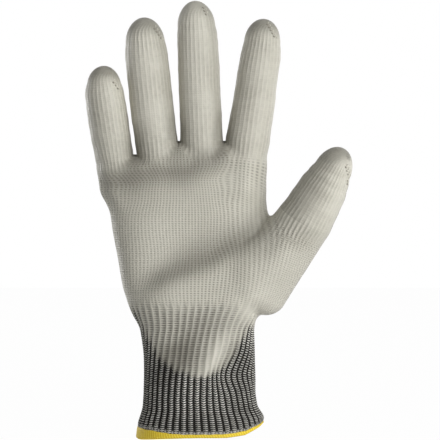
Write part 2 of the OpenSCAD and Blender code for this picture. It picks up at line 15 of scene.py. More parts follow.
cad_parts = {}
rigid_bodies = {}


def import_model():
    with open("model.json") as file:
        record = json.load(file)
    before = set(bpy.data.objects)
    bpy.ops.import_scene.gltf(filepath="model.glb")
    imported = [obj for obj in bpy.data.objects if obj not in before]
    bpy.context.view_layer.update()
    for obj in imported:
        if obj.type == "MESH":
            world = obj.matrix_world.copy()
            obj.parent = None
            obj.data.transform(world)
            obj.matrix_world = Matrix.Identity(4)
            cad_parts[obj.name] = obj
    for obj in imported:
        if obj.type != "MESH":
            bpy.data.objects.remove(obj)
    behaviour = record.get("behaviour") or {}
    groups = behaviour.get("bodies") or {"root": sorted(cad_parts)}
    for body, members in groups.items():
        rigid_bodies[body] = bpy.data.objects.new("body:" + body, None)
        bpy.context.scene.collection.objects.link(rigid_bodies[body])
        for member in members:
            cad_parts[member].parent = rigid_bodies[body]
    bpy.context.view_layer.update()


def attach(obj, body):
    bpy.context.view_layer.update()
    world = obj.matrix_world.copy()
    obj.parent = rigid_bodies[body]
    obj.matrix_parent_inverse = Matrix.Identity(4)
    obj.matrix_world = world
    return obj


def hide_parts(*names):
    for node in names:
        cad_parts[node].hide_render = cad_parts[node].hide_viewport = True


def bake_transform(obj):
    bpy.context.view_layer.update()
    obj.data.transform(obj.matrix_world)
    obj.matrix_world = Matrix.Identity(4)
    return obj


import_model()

MM = 0.001

# ---------------------------------------------------------------- image points and camera

W = H = 440
POINTS = {
    "glove_left": (86.7, 108),
    "glove_right": (352.9, 164),
    "glove_top": (196.4, 0.7),
    "glove_bottom": (200, 438.5),
    "little_tip": (103, 66),
    "ring_tip": (144.5, 17.5),
    "index_tip": (263.5, 18.9),
    "thumb_tip": (333.6, 147),
    "little_crotch": (135.5, 156),
    "ring_crotch": (178.3, 143),
    "middle_crotch": (223.5, 142),
    "thumb_crotch": (271.2, 219),
    "dip_lowest": (202.5, 378),
    "hem_left": (136, 432),
    "hem_right": (263, 424),
    "little_closure": (116.5, 85),
    "ring_closure": (158.5, 33),
    "middle_closure": (205, 10),
    "index_closure": (271.5, 30),
    "thumb_closure": (349, 175),
}

CAMERA_X = 11.2
CAMERA_Z = 122.2
CAMERA_DISTANCE = 900
FIELD_WIDTH = 246.7
SENSOR = 36
LENS = SENSOR * CAMERA_DISTANCE / FIELD_WIDTH
SHIFT_X = 0.0
SHIFT_Y = 0.0

camera_data = bpy.data.cameras.new("camera")
camera_data.sensor_fit = "AUTO"
camera_data.sensor_width = SENSOR
camera_data.lens = LENS
camera_data.shift_x = SHIFT_X
camera_data.shift_y = SHIFT_Y
camera_data.clip_end = 50
camera = bpy.data.objects.new("camera", camera_data)
camera.location = (CAMERA_X * MM, -CAMERA_DISTANCE * MM, CAMERA_Z * MM)
camera.rotation_euler = (math.radians(90), 0, 0)
bpy.context.scene.collection.objects.link(camera)
bpy.context.scene.camera = camera

# ---------------------------------------------------------------- the hand that fills the glove

NAMES = ("little", "ring", "middle", "index")
ROOT_X = (-48.7, -24.7, 0.8, 26.9)
ROOT_Z = (159.5, 167.0, 167.0, 167.0)
LENGTHS = ((18, 15, 16.2), (24, 22.5, 22.2), (28, 25, 25.2), (24, 22, 22))
ROOT_R = (11.2, 12, 12, 12.3)
TIP_R = (9.7, 10.4, 10.4, 10.3)
LEAN = (-7.6, -5.4, -2.2, 7.4)
PITCH = (3, 8, 14)
TAPER = (0, 0.1, 0.45, 1)
STUB_DROP = 24
STUB_TAPER = 1.5

THUMB_ROOT = np.array([58.2, -14.5, 121.8])
THUMB_ANGLES = (29.5, 12, 20)
THUMB_T = (-47, 0, 19.5, 35.7)
THUMB_R = (13.6, 15.8, 13.7, 10.8)


def tan(degrees):
    return math.tan(math.radians(degrees))


def turn(axis, degrees):
    c, s = math.cos(math.radians(degrees)), math.sin(math.radians(degrees))
    return {
        "x": np.array([[1, 0, 0], [0, c, -s], [0, s, c]]),
        "y": np.array([[c, 0, s], [0, 1, 0], [-s, 0, c]]),
        "z": np.array([[c, -s, 0], [s, c, 0], [0, 0, 1]]),
    }[axis]


THUMB_TURN = turn("y", THUMB_ANGLES[0]) @ turn("x", THUMB_ANGLES[1]) @ turn("z", -THUMB_ANGLES[2])
THUMB_WAY = THUMB_TURN @ np.array([0, 0, 1.0])


def unit(v):
    v = np.asarray(v, float)
    return v / np.linalg.norm(v)


def finger_chain(f):
    """Centres and radii from inside the palm to the middle of the tip."""
    c = np.array([ROOT_X[f], 0.0, ROOT_Z[f]])
    chain = [(c - STUB_DROP * np.array([tan(LEAN[f]), 0, 1]), ROOT_R[f] - STUB_TAPER), (c, ROOT_R[f])]
    for k in range(3):
        rise = LENGTHS[f][k] - (TIP_R[f] if k == 2 else 0)
        c = c + rise * np.array([tan(LEAN[f]), -tan(PITCH[k]), 1])
        chain.append((c, ROOT_R[f] + (TIP_R[f] - ROOT_R[f]) * TAPER[k + 1]))
    return chain


CHAINS = [finger_chain(f) for f in range(4)]
THUMB_CHAIN = [(THUMB_ROOT + t * THUMB_WAY, r) for t, r in zip(THUMB_T, THUMB_R)]

# The knit's own form about those chains: at each station a shift across and a change of radius.
# The tips are drawn out lengthwise, and each finger's is set back.
TIP_STRETCH = 1.35
FINGER_FORMS = (
    ((1.4, -2.0), (0.1, 0.0), (-0.1, 0.2), (-0.2, 0.3), (-0.2, 0.5), (-0.1, 0.3), (0.1, 0.0)),
    ((0.0, 0.0), (0.0, 0.0), (-0.5, 0.4), (-0.6, 0.5), (-0.6, 0.6), (-0.6, 0.8), (-0.6, 0.5)),
    ((0.0, 0.0), (0.1, -0.2), (0.0, -0.2), (0.0, 0.0), (0.0, 0.1), (0.0, 0.3), (-0.3, 0.1)),
    ((0.0, 0.0), (0.0, 0.0), (0.5, -0.4), (0.6, -0.5), (0.8, -0.4), (0.8, -0.2), (0.7, -0.2)),
)
THUMB_FORM = ((0.0, -0.1), (-0.5, -0.5), (-0.4, -0.4), (-0.5, -0.3), (-1.0, -0.4))
TIP_BACK = (0.4, 1.7, 1.5, 0.8)


def formed(chain, changes, back=0.0):
    """A chain with a station halfway along each part beyond the first, its tip set back and changed."""
    (before, _), (tip, tip_r) = chain[-2:]
    chain = chain[:-1] + [(tip - unit(tip - before) * ((TIP_STRETCH - 1) * tip_r + back), tip_r)]
    out = chain[:2]
    for (a, ra), (b, rb) in zip(chain[1:], chain[2:]):
        out += [((a + b) / 2, (ra + rb) / 2), (b, rb)]
    at = np.linspace(0, len(changes) - 1, len(out))
    shifts, grows = (np.interp(at, np.arange(len(changes)), [c[k] for c in changes]) for k in (0, 1))
    return [(c + np.array([dx, 0, 0]), r + dr) for (c, r), dx, dr in zip(out, shifts, grows)]


FORMS = [formed(chain, changes, back) for chain, changes, back in zip(CHAINS, FINGER_FORMS, TIP_BACK)]
THUMB_SHAPE = formed(THUMB_CHAIN, THUMB_FORM)

# Sections of the hand's body: height, outer side, thumb side, palm side, back
BODY = np.array(
    [
        [-8, -35.6, 35.3, -25, 25],
        [6, -35.4, 35.3, -25, 25],
        [12.3, -33.2, 34.9, -24, 24],
        [17, -31.7, 31.9, -22.7, 22.7],
        [25, -31.0, 30.5, -22.3, 22.3],
        [35, -31.0, 30.7, -22.4, 22.4],
        [48, -31.1, 30.0, -22.2, 22.2],
        [55, -32.0, 29.8, -21.8, 21.8],
        [62, -33.2, 29.8, -21.2, 21.2],
        [66, -35.0, 31.2, -21, 20.5],
        [75, -40.3, 35, -20.6, 18.8],
        [84, -43.6, 37.6, -20, 17],
        [98, -45.9, 39, -17.6, 15.9],
        [116, -49.2, 39.0, -15, 15],
        [133, -51.6, 37.2, -13.6, 13.9],
        [147, -55.4, 36.4, -12.8, 12.8],
        [158, -58.8, 37.2, -12.75, 12.75],
        [200, -59.8, 37.2, -12.75, 12.75],
    ]
)
SECTION_Z = np.arange(-8, 200, 0.5)
SMOOTH_REACH = 10
KERNEL = np.exp(-np.linspace(-2.2, 2.2, 2 * SMOOTH_REACH + 1) ** 2)


def smoothed(values):
    return np.convolve(np.pad(values, SMOOTH_REACH, "edge"), KERNEL / KERNEL.sum(), "valid")


SMOOTH_BODY = np.stack([smoothed(np.interp(SECTION_Z, BODY[:, 0], BODY[:, k])) for k in range(1, 5)], 1)
BODY_TOP = 150
BODY_POWER = 2.3
BODY_END = 4
# The cloth between neighbouring fingers
WEB_LOW = 140
WEB_DROP = 1.4
WEB_SLACK = 1.0
# How softly the parts run into each other, in mm
CONE_BLEND = 0.4
END_BLEND = 6
FINGER_BLEND = 0.8
WEB_BLEND = 1.5
BODY_BLEND = 5.0
THUMB_BLEND = 4.0
THUMB_WEB = 9.0
THUMB_PALM = 10.0
# Unevenness of the cloth: height and size
UNEVEN = (0.16, 9.0)


def section(z):
    """Centre and half sizes of the body's section at each height."""
    outer, thumb, palm, back = (np.interp(z, SECTION_Z, SMOOTH_BODY[:, k]) for k in range(4))
    return (outer + thumb) / 2, (thumb - outer) / 2, (palm + back) / 2, (back - palm) / 2


def soft_min(a, b, k):
    """The smaller of two distances, rounded off where they are within k of each other."""
    h = np.maximum(k - np.abs(a - b), 0)
    return np.minimum(a, b) - h * h / (4 * k)


def soft_max(a, b, k):
    return -soft_min(-a, -b, k)


def cones(p, chain, stretch=1.0):
    """Distance from a limb of cones. Its round tip is drawn out lengthwise by stretch."""
    best = None
    last = len(chain) - 2
    for k, ((a, ra), (b, rb)) in enumerate(zip(chain, chain[1:])):
        d = b - a
        t = ((p - a) @ d) / (d @ d)
        off = p - a - np.clip(t, 0, 1)[:, None] * d
        if k == last and stretch != 1:
            beyond = np.maximum(t - 1, 0)
            off = off - (beyond * (1 - 1 / stretch))[:, None] * d
        away = np.sqrt((off**2).sum(1)) - (ra + (rb - ra) * np.clip(t, 0, 1))
        best = away if best is None else soft_min(best, away, CONE_BLEND)
    return best


def body_field(p):
    """Distance from the cuff and the palm, about."""
    cx, a, cy, b = section(p[:, 2])
    n = BODY_POWER
    ux, uy = np.abs(p[:, 0] - cx) / a, np.abs(p[:, 1] - cy) / b
    q = np.maximum(ux**n + uy**n, 1e-6) ** (1 / n)
    slope = np.sqrt((ux ** (n - 1) / a) ** 2 + (uy ** (n - 1) / b) ** 2) / q ** (n - 1)
    side = (q - 1) / np.maximum(slope, 1 / (2 * a))
    return soft_max(side, p[:, 2] - BODY_TOP - BODY_END, END_BLEND)


def web_field(p, f):
    """Distance from the cloth between finger f and the next."""
    x, y, z = p.T
    top = ROOT_Z[f] - WEB_DROP
    low = [ROOT_X[g] + (z - ROOT_Z[g]) * tan(LEAN[g]) for g in (f, f + 1)]
    r = [ROOT_R[g] - WEB_SLACK for g in (f, f + 1)]
    share = np.clip((x - low[0]) / (low[1] - low[0]), 0, 1)
    radius = r[0] + (r[1] - r[0]) * share
    dx = np.maximum(np.maximum(low[0] - x, x - low[1]), 0)
    dz = np.maximum(np.maximum(z - (top - radius), WEB_LOW - z), 0)
    return np.sqrt(dx * dx + y * y + dz * dz) - radius


def ease(t):
    """0 below 0 and 1 above 1, with a smooth rise between them."""
    t = np.clip(t, 0, 1)
    return t * t * (3 - 2 * t)


def window(x, lo, hi, edge):
    """1 between lo and hi, falling to 0 over edge on both sides."""
    return ease(np.minimum((x - lo) / edge + 0.5, (hi - x) / edge + 0.5))


def bell(x, middle, size):
    """1 at the middle, falling off on both sides over about size."""
    return np.exp(-(((x - middle) / size) ** 2))


def palm_side(y):
    """1 on the palm side, falling to 0 just behind the middle."""
    return ease((2 - y) / 6)


# The palm's hollow ends at a slanting wall, and gaps between the fingers end at the crotches
WALL_X = (-42, -33, -21, -5.6, 6.7, 17.9, 24.7, 32.5, 36, 46)
WALL_Z = (81, 84, 89.5, 95.5, 100.5, 107, 110.5, 117, 121.5, 131)
CROTCHES = ((-36.2, 158), (-12.3, 165.4), (13.2, 166))
ROOT_LINE = 150
ROOT_LINE_STEP = 4
BALL_SLANT = 0.57
BALL_LOW = 84
WALL_SLANT = 0.87

# Heights of the folds, in mm
PAD_FALL = 3.6
HOLLOW = 2.6
HEEL_RISE = 2.2
BALL_RISE = 3.2
BALL_BACK = 2.6
SIDE_BACK = 1.2
TONGUE_FOLD = 1.7

# Painted light: where the coating is painted paler, as light falls there more brightly, beside the ridge and
# the ball of the thumb.
# Bands: middle and half width across, lower and upper end, softness of the ends, strength.
# Spots: middle and half width across, then upwards, strength.
LIGHT_BANDS = ((33, 9, 110, 142, 14, 0.9), (-23, 11, 92, 126, 16, 0.7), (-14, 9, 72, 92, 12, 0.42))
LIGHT_SPOTS = ((17, 9, 145, 7, 0.9), (34, 9, 74, 9, 0.9))
BALL_LIGHT = 0.8

# Strengths of the painted shade in the folds and on the cuff
ROOT_SHADE = 1.1
WALL_SHADE = 1.1
TONGUE_SHADE = 1.5
HEEL_SHADE = 0.45
CUFF_RIGHT_SHADE = 0.9
CUFF_LEFT_SHADE = 0.5
CUFF_LOW_SHADE = 0.8
BETWEEN_SHADE = 1.2
SHADE_LIMIT = 1.3


def root_line(x):
    """Height of the middle of the fold below the finger roots."""
    return ROOT_LINE + ROOT_LINE_STEP * (ease((x - 4) / 16) - ease((-24 - x) / 16))


def wall_distance(x, z):
    """Distance above the slanting wall between the palm's hollow and the ball of the thumb."""
    return (z - np.interp(x, WALL_X, WALL_Z)) * WALL_SLANT


def ball_line(z):
    """Place across of the middle of the ball of the thumb, which slants outwards."""
    return 42 + BALL_SLANT * (z - BALL_LOW)


def ridge(p):
    """The smooth ridge down the dipped tongue of the cuff."""
    x, _, z = p.T
    return bell(x, 6.5 + 0.5 * (z - 45), 5) * bell(z, 46, 13)


def painted_light(p):
    """Painted light: how much paler the coating is painted where light falls more brightly, from 0 to 1."""
    x, y, z = p.T
    light_patches = BALL_LIGHT * bell(x, ball_line(z), 15) * window(z, 70, 106, 16)
    for middle, wide, low, high, edge, strength in LIGHT_BANDS:
        light_patches += strength * bell(x, middle, wide) * window(z, low, high, edge)
    for middle, wide, height, high, strength in LIGHT_SPOTS:
        light_patches += strength * bell(x, middle, wide) * bell(z, height, high)
    # painted light along the ridge down the cuff's tongue, and in the patches on the palm side
    return np.clip(ridge(p) + palm_side(y) * light_patches, 0, 1)


def shade(p):
    """Painted shade: how much darker the coating and the bare yarn are painted in the folds, between the
    fingers and in the cuff's own shadow, up to SHADE_LIMIT.
    """
    x, y, z = p.T
    root = bell(z, root_line(x) - 2 + 6.5 * ease((x + 10) / 14), 8.2) * window(x, -54, 14, 14)
    away = wall_distance(x, z)
    above = np.interp(x, [-22, 0, 22], [7.0, 13.0, 10.0])
    wall = bell(away, 0.5, np.where(away > 0.5, above, 5.5)) * window(x, -27, 31, 14)
    tongue = bell(x, -14 + 0.6 * (z - 43), 10) * bell(z, 46, 16)
    cuff_sides = CUFF_RIGHT_SHADE * ease((x - 8) / 16) + CUFF_LEFT_SHADE * ease((-8 - x) / 10)
    folds = ROOT_SHADE * root + WALL_SHADE * wall + TONGUE_SHADE * tongue + CUFF_LOW_SHADE * bell(z, 8, 9)
    folds += cuff_sides * window(z, 14, 54, 10) + HEEL_SHADE * bell(x, 6, 12) * bell(z, 66, 7)
    # painted shade between the fingers, about the crotches
    between = sum(bell(x, at, 6) * bell(z, high + 3, 12) for at, high in CROTCHES)
    return np.clip(palm_side(y) * folds + BETWEEN_SHADE * between * ease((6 - y) / 6), 0, SHADE_LIMIT)


def relief(p):
    """How far the glove's folds lie below (+) or above (-) the plain form, on the palm side."""
    x, y, z = p.T
    # the palm falls back below the pads at the finger roots, steeply at first
    g = PAD_FALL * ease((root_line(x) + 5 - z) / 12) * ease((z - 122) / 26) * window(x, -56, 18, 20)
    # hollow of the palm above a slanting wall, and the ball of the thumb and the heel below it
    away = wall_distance(x, z)
    above = 1 / (1 + np.exp(-away / 3.0))
    along = window(x, -34, 42, 18)
    g += HOLLOW * above * bell(away, 0, 28) * along
    g -= HEEL_RISE * (1 - above) * bell(away, 0, 15) * along
    g -= BALL_RISE * bell(x, 25, 11) * bell(z, 90, 17)
    g += BALL_BACK * bell(x, ball_line(z) - 1, 8.5) * window(z, 68, 112, 16)
    # the palm turns back towards the little finger
    g += SIDE_BACK * ease((-24 - x) / 26) * ease((z - 70) / 20) * ease((172 - z) / 20)
    # fold down the dipped tongue of the cuff
    g += TONGUE_FOLD * (bell(x, -12, 7) * bell(z, 46, 12) - ridge(p))
    return palm_side(y) * g


RNG = np.random.default_rng(7)
WAVES = [(RNG.normal(size=3), RNG.uniform(0, 2 * math.pi)) for _ in range(7)]


def wander(p, size):
    """Smooth noise of about unit height, the same for every mesh."""
    total = np.zeros(len(p))
    for way, phase in WAVES:
        total += np.sin(p @ (way / size) + phase)
    return total / len(WAVES) ** 0.5


def field(p):
    """Signed distance, near enough, from the outside of the glove without its ribs."""
    fingers = None
    for f in range(4):
        d = cones(p, FORMS[f], TIP_STRETCH)
        fingers = d if fingers is None else soft_min(fingers, d, FINGER_BLEND)
    for f in range(3):
        fingers = soft_min(fingers, web_field(p, f), WEB_BLEND)
    d = soft_min(body_field(p), fingers, BODY_BLEND)
    x, y, z = p.T
    web = THUMB_WEB * bell(z, 124, 14) * bell(x, 42, 12) + THUMB_PALM * ease((-y - 8) / 8) * bell(z, 102, 18)
    d = soft_min(d, cones(p, THUMB_SHAPE, TIP_STRETCH), THUMB_BLEND + web)
    return d + relief(p) + UNEVEN[0] * wander(p, UNEVEN[1])


def slopes(function, p, step):
    """How fast a function of points changes along each axis."""
    g = np.empty_like(p)
    for k in range(3):
        e = np.zeros(3)
        e[k] = step
        g[:, k] = (function(p + e) - function(p - e)) / (2 * step)
    return g


def gradient(p):
    return slopes(field, p, 0.05)


def unit_rows(v):
    """Each row of an array at unit length."""
    return v / np.linalg.norm(v, axis=-1, keepdims=True)


def settle(p, rounds=3):
    """Moves points onto the surface."""
    for _ in range(rounds):
        g = gradient(p)
        p = p - (field(p) / np.maximum((g * g).sum(1), 0.2))[:, None] * g
    return p


# ---------------------------------------------------------------- the knit's own coordinates

RIBS = 48
COURSE = 1.27
RIB_SQUEEZE = 1.3
# Path of one rib up the palm side: height and place across
REFERENCE = (
    (0, -0.7), (6.2, -0.7), (23.5, -1.5), (37, -1.0), (44.5, -0.2), (52, 0.95),
    (58, 2.1), (65.6, 3.8), (73.4, 5.5), (110, 6.5), (190, 6.5),
)
ARC_STEP = 4.0
ARC_COUNT = 360
ARC_Z = np.arange(0, 192, ARC_STEP)
ARC_PHI = np.linspace(-math.pi, math.pi, ARC_COUNT + 1)
BACK_MIDDLE = 3 * ARC_COUNT // 4


def outline(a, b, phi):
    """Places on a section's outline about its centre, at angles phi."""
    c, s = np.cos(phi), np.sin(phi)
    power = 2 / BODY_POWER
    return a * np.sign(c) * np.abs(c) ** power, b * np.sign(s) * np.abs(s) ** power


def arc_table():
    """At each height, the arc to each angle about the section, and the way round."""
    rows, rounds = [], []
    for z in ARC_Z:
        _, a, _, b = (float(v) for v in section(np.array(z)))
        x, y = outline(a, b, ARC_PHI)
        steps = np.hypot(np.diff(x), np.diff(y))
        arc = np.concatenate([[0], np.cumsum(steps)])
        rows.append(arc)
        rounds.append(arc[-1])
    return np.array(rows), np.array(rounds)


ARCS, ROUNDS = arc_table()


def section_angle(x, y, z):
    """The angle about the section that the arc table is written in."""
    cx, a, cy, b = section(z)
    ux, uy = (x - cx) / a, (y - cy) / b
    power = BODY_POWER / 2
    return np.arctan2(np.sign(uy) * np.abs(uy) ** power, np.sign(ux) * np.abs(ux) ** power)


def arc_at(phi, z):
    """Arc to an angle about the section at a height, from the table."""
    i = np.clip(z / ARC_STEP, 0, len(ARC_Z) - 1.001)
    k = i.astype(int)
    t = i - k
    j = (phi + math.pi) / (2 * math.pi) * ARC_COUNT
    m = np.clip(j.astype(int), 0, ARC_COUNT - 1)
    s = j - m

    def row(q):
        return ARCS[q, m] * (1 - s) + ARCS[q, m + 1] * s

    return row(k) * (1 - t) + row(k + 1) * t


# On the ball of the thumb the courses droop and the wales lean, more so away from the palm
BALL_EDGE = 12.0
BALL_LEAN = 0.42
BALL_WALE_LEAN = 0.22
BALL_FROM = 66
BALL_START = 18


def ball_edge():
    """The glove's outer edge on the thumb's side at each height: its place across and front to back."""
    heights = np.arange(58.0, 122.0, 2.0)
    across, deep = np.arange(22, 84, 0.5), np.arange(-26, 12, 1.5)
    grid = np.stack(np.meshgrid(across, deep, indexing="ij"), -1).reshape(-1, 2)
    out = []
    for z in heights:
        inside = grid[field(np.column_stack([grid, np.full(len(grid), z)])) < 0]
        out.append(inside[np.argmax(inside[:, 0])])
    return heights, np.array(out)


BALL_Z, BALL_SIDE = ball_edge()


def ball_across(p):
    """Distance across the palm side, carried on round the outer edge of the ball of the thumb."""
    x, y, z = p.T
    edge = np.interp(z, BALL_Z, BALL_SIDE[:, 0]) - BALL_EDGE
    middle = np.interp(z, BALL_Z, BALL_SIDE[:, 1])
    s = np.where(x > edge, edge + BALL_EDGE * np.arctan2(x - edge, -(y - middle)), x)
    up = np.clip(z - BALL_FROM, -10, 56)
    return s - BALL_WALE_LEAN * up / (1 + np.exp(-(s - BALL_START - 0.4 * up) / 6))


def body_wale(p):
    """Wale coordinate on the cuff and the hand, rising to the thumb. Whole numbers are the tops of ribs."""
    x, y, z = p.T
    zc = np.clip(z, 0, 188)
    way_round = np.interp(zc, ARC_Z, ROUNDS)
    ref_x = np.interp(zc, *np.array(REFERENCE).T)
    cx, a, cy, b = section(zc)
    ref_u = np.clip((ref_x - cx) / a, -0.95, 0.95)
    ref_y = cy - b * (1 - np.abs(ref_u) ** BODY_POWER) ** (1 / BODY_POWER)
    ref = arc_at(section_angle(ref_x, ref_y, zc), zc)
    s = arc_at(section_angle(x, y, zc), zc) - ref
    s = (s + way_round / 2) % way_round - way_round / 2
    on_ball = ease((x - 8) / 18) * ease((z - 60) / 12) * ease((4 - y) / 8)
    s = s * (1 - on_ball) + (ball_across(p) - ref_x) * on_ball
    u = s / way_round * RIBS
    squeeze = ease((x - 3) / 13) * bell(z, 37, 9) * ease((8 - y) / 26)
    return u + RIB_SQUEEZE * squeeze


def body_course(p):
    """Course coordinate on the cuff and the hand, rising towards the fingers."""
    x, _, z = p.T
    across = np.logaddexp(0, (x - BALL_START - 2) / 6) * 6
    return (z + BALL_LEAN * across * window(z, 70, 150, 30)) / COURSE


# ---------------------------------------------------------------- meshes


def make_object(name, verts, faces, smooth=True):
    """A mesh object from vertices in mm."""
    mesh = bpy.data.meshes.new(name)
    mesh.from_pydata((np.asarray(verts) * MM).tolist(), [], faces)
    mesh.validate()
    if smooth:
        mesh.polygons.foreach_set("use_smooth", np.ones(len(mesh.polygons), bool))
    obj = bpy.data.objects.new(name, mesh)
    bpy.context.scene.collection.objects.link(obj)
    return obj


def point_values(obj, **values):
    """Named values at a mesh's vertices, which its material reads."""
    for name, value in values.items():
        attribute = obj.data.attributes.new(name, "FLOAT", "POINT")
        attribute.data.foreach_set("value", np.asarray(value, np.float32))


def corner_uv(obj, name, u, v, period=None):
    """A UV layer from values at the vertices. A face across the period's end keeps its values together."""
    mesh = obj.data
    layer = mesh.uv_layers.new(name=name)
    loops = np.empty(len(mesh.loops), np.int32)
    mesh.loops.foreach_get("vertex_index", loops)
    cu, cv = np.asarray(u)[loops], np.asarray(v)[loops]
    if period is not None:
        period = np.broadcast_to(period, len(u))[loops]
        starts = np.empty(len(mesh.polygons), np.int32)
        sizes = np.empty(len(mesh.polygons), np.int32)
        mesh.polygons.foreach_get("loop_start", starts)
        mesh.polygons.foreach_get("loop_total", sizes)
        first = np.repeat(cu[starts], sizes)
        cu = cu - period * np.round((cu - first) / period)
    layer.uv.foreach_set("vector", np.stack([cu, cv], 1).astype(np.float32).ravel())


def keep_normals(obj, normals):
    """Shades a mesh by the given normals at its vertices."""
    obj.data.normals_split_custom_set_from_vertices(normals.tolist())


def grid_faces(rows, cols):
    """Faces between the rows and columns of a grid of points."""
    i, j = np.meshgrid(np.arange(rows - 1), np.arange(cols - 1), indexing="ij")
    a = (i * cols + j).ravel()
    return np.stack([a, a + 1, a + cols + 1, a + cols], 1).tolist()


def tube_faces(rings, sides, base=0, closed=False):
    """Faces between rings of points that go round, and from the last ring to the first if closed."""
    faces = []
    for i in range(rings if closed else rings - 1):
        this, after = base + i * sides, base + (i + 1) % rings * sides
        for j in range(sides):
            beside = (j + 1) % sides
            faces.append([this + j, this + beside, after + beside, after + j])
    return faces


def grid_normals(points):
    """Normals of a grid of points whose first and last columns coincide."""
    du = np.empty_like(points)
    du[:, 1:-1] = points[:, 2:] - points[:, :-2]
    du[:, 0] = du[:, -1] = points[:, 1] - points[:, -2]
    dv = np.gradient(points, axis=0)
    n = np.cross(du, dv)
    return n / np.maximum(np.linalg.norm(n, axis=2, keepdims=True), 1e-9)


def surface_net(lo, hi, size, depth=0.0):
    """The surface that lies depth inside the glove's, as vertices and faces, with a vertex in each cell."""
    axes = [np.arange(lo[k], hi[k] + size, size) for k in range(3)]
    n = [len(a) for a in axes]
    values = np.empty(n, np.float32)
    flat = np.stack(np.meshgrid(axes[0], axes[1], indexing="ij"), -1).reshape(-1, 2)
    for k, z in enumerate(axes[2]):
        slab = np.column_stack([flat, np.full(len(flat), z)])
        values[:, :, k] = field(slab).reshape(n[0], n[1]) + depth
    inside = values < 0
    corners = [(i, j, k) for i in (0, 1) for j in (0, 1) for k in (0, 1)]

    def part(a, c):
        return a[c[0] : n[0] - 1 + c[0], c[1] : n[1] - 1 + c[1], c[2] : n[2] - 1 + c[2]]

    count = sum(part(inside, c).astype(np.int8) for c in corners)
    cells = np.argwhere((count > 0) & (count < 8))
    total = np.zeros((len(cells), 3))
    hits = np.zeros(len(cells))
    for c in corners:
        for k in range(3):
            if c[k]:
                continue
            e = list(c)
            e[k] = 1
            va = values[tuple((cells + c).T)].astype(float)
            vb = values[tuple((cells + e).T)].astype(float)
            cross = (va < 0) != (vb < 0)
            t = np.where(cross, va / np.where(cross, va - vb, 1), 0)
            point = np.tile(np.array(c, float), (len(cells), 1))
            point[:, k] = t
            total += point * cross[:, None]
            hits += cross
    verts = (cells + total / hits[:, None]) * size + np.array([a[0] for a in axes])
    index = np.full([m - 1 for m in n], -1, np.int32)
    index[tuple(cells.T)] = np.arange(len(cells))
    faces = []
    for k in range(3):
        a = [slice(1, m - 1) for m in n]
        b = [slice(1, m - 1) for m in n]
        a[k], b[k] = slice(0, n[k] - 1), slice(1, n[k])
        first, second = inside[tuple(a)], inside[tuple(b)]
        at = np.argwhere(first != second)
        out = first[tuple(at.T)]
        base = at + np.array([0 if m == k else 1 for m in range(3)])
        i, j = (k + 1) % 3, (k + 2) % 3
        ring = []
        for di, dj in ((-1, -1), (0, -1), (0, 0), (-1, 0)):
            q = base.copy()
            q[:, i] += di
            q[:, j] += dj
            ring.append(index[tuple(q.T)])
        quad = np.stack(ring, 1)
        quad[~out] = quad[~out][:, ::-1]
        faces.append(quad[(quad >= 0).all(1)])
    return verts, np.concatenate(faces)


def relax(verts, faces, rounds):
    """Evens out the net and keeps it on the surface."""
    edges = np.concatenate([faces[:, [0, 1]], faces[:, [1, 2]], faces[:, [2, 3]], faces[:, [3, 0]]])
    for _ in range(rounds):
        total = np.zeros_like(verts)
        count = np.zeros(len(verts))
        for a, b in ((0, 1), (1, 0)):
            for k in range(3):
                total[:, k] += np.bincount(edges[:, a], verts[edges[:, b], k], len(verts))
            count += np.bincount(edges[:, a], minlength=len(verts))
        middle = total / np.maximum(count, 1)[:, None]
        verts = settle(verts + 0.6 * (middle - verts), 1)
    return settle(verts, 2)


def along_rays(centres, ways, start, depth=0.0, step=0.4, reach=60.0):
    """Distance along each ray from inside the glove to the surface that lies depth inside the glove's."""
    r = np.full(len(centres), float(start))
    value = field(centres + ways * r[:, None]) + depth
    live = value < 0
    before = r.copy()
    while live.any() and r.max() < reach:
        before[live] = r[live]
        r[live] += step
        now = field((centres + ways * r[:, None])[live]) + depth
        ids = np.flatnonzero(live)
        live[ids[now >= 0]] = False
    lo, hi = before, r
    for _ in range(14):
        mid = (lo + hi) / 2
        inside = field(centres + ways * mid[:, None]) + depth < 0
        lo, hi = np.where(inside, mid, lo), np.where(inside, hi, mid)
    return (lo + hi) / 2


# ---------------------------------------------------------------- limbs' coordinates

FINGER_RIBS = 29
THUMB_RIBS = 38
CUT_BELOW_ROOT = 0.5
THUMB_CUT = 0.5


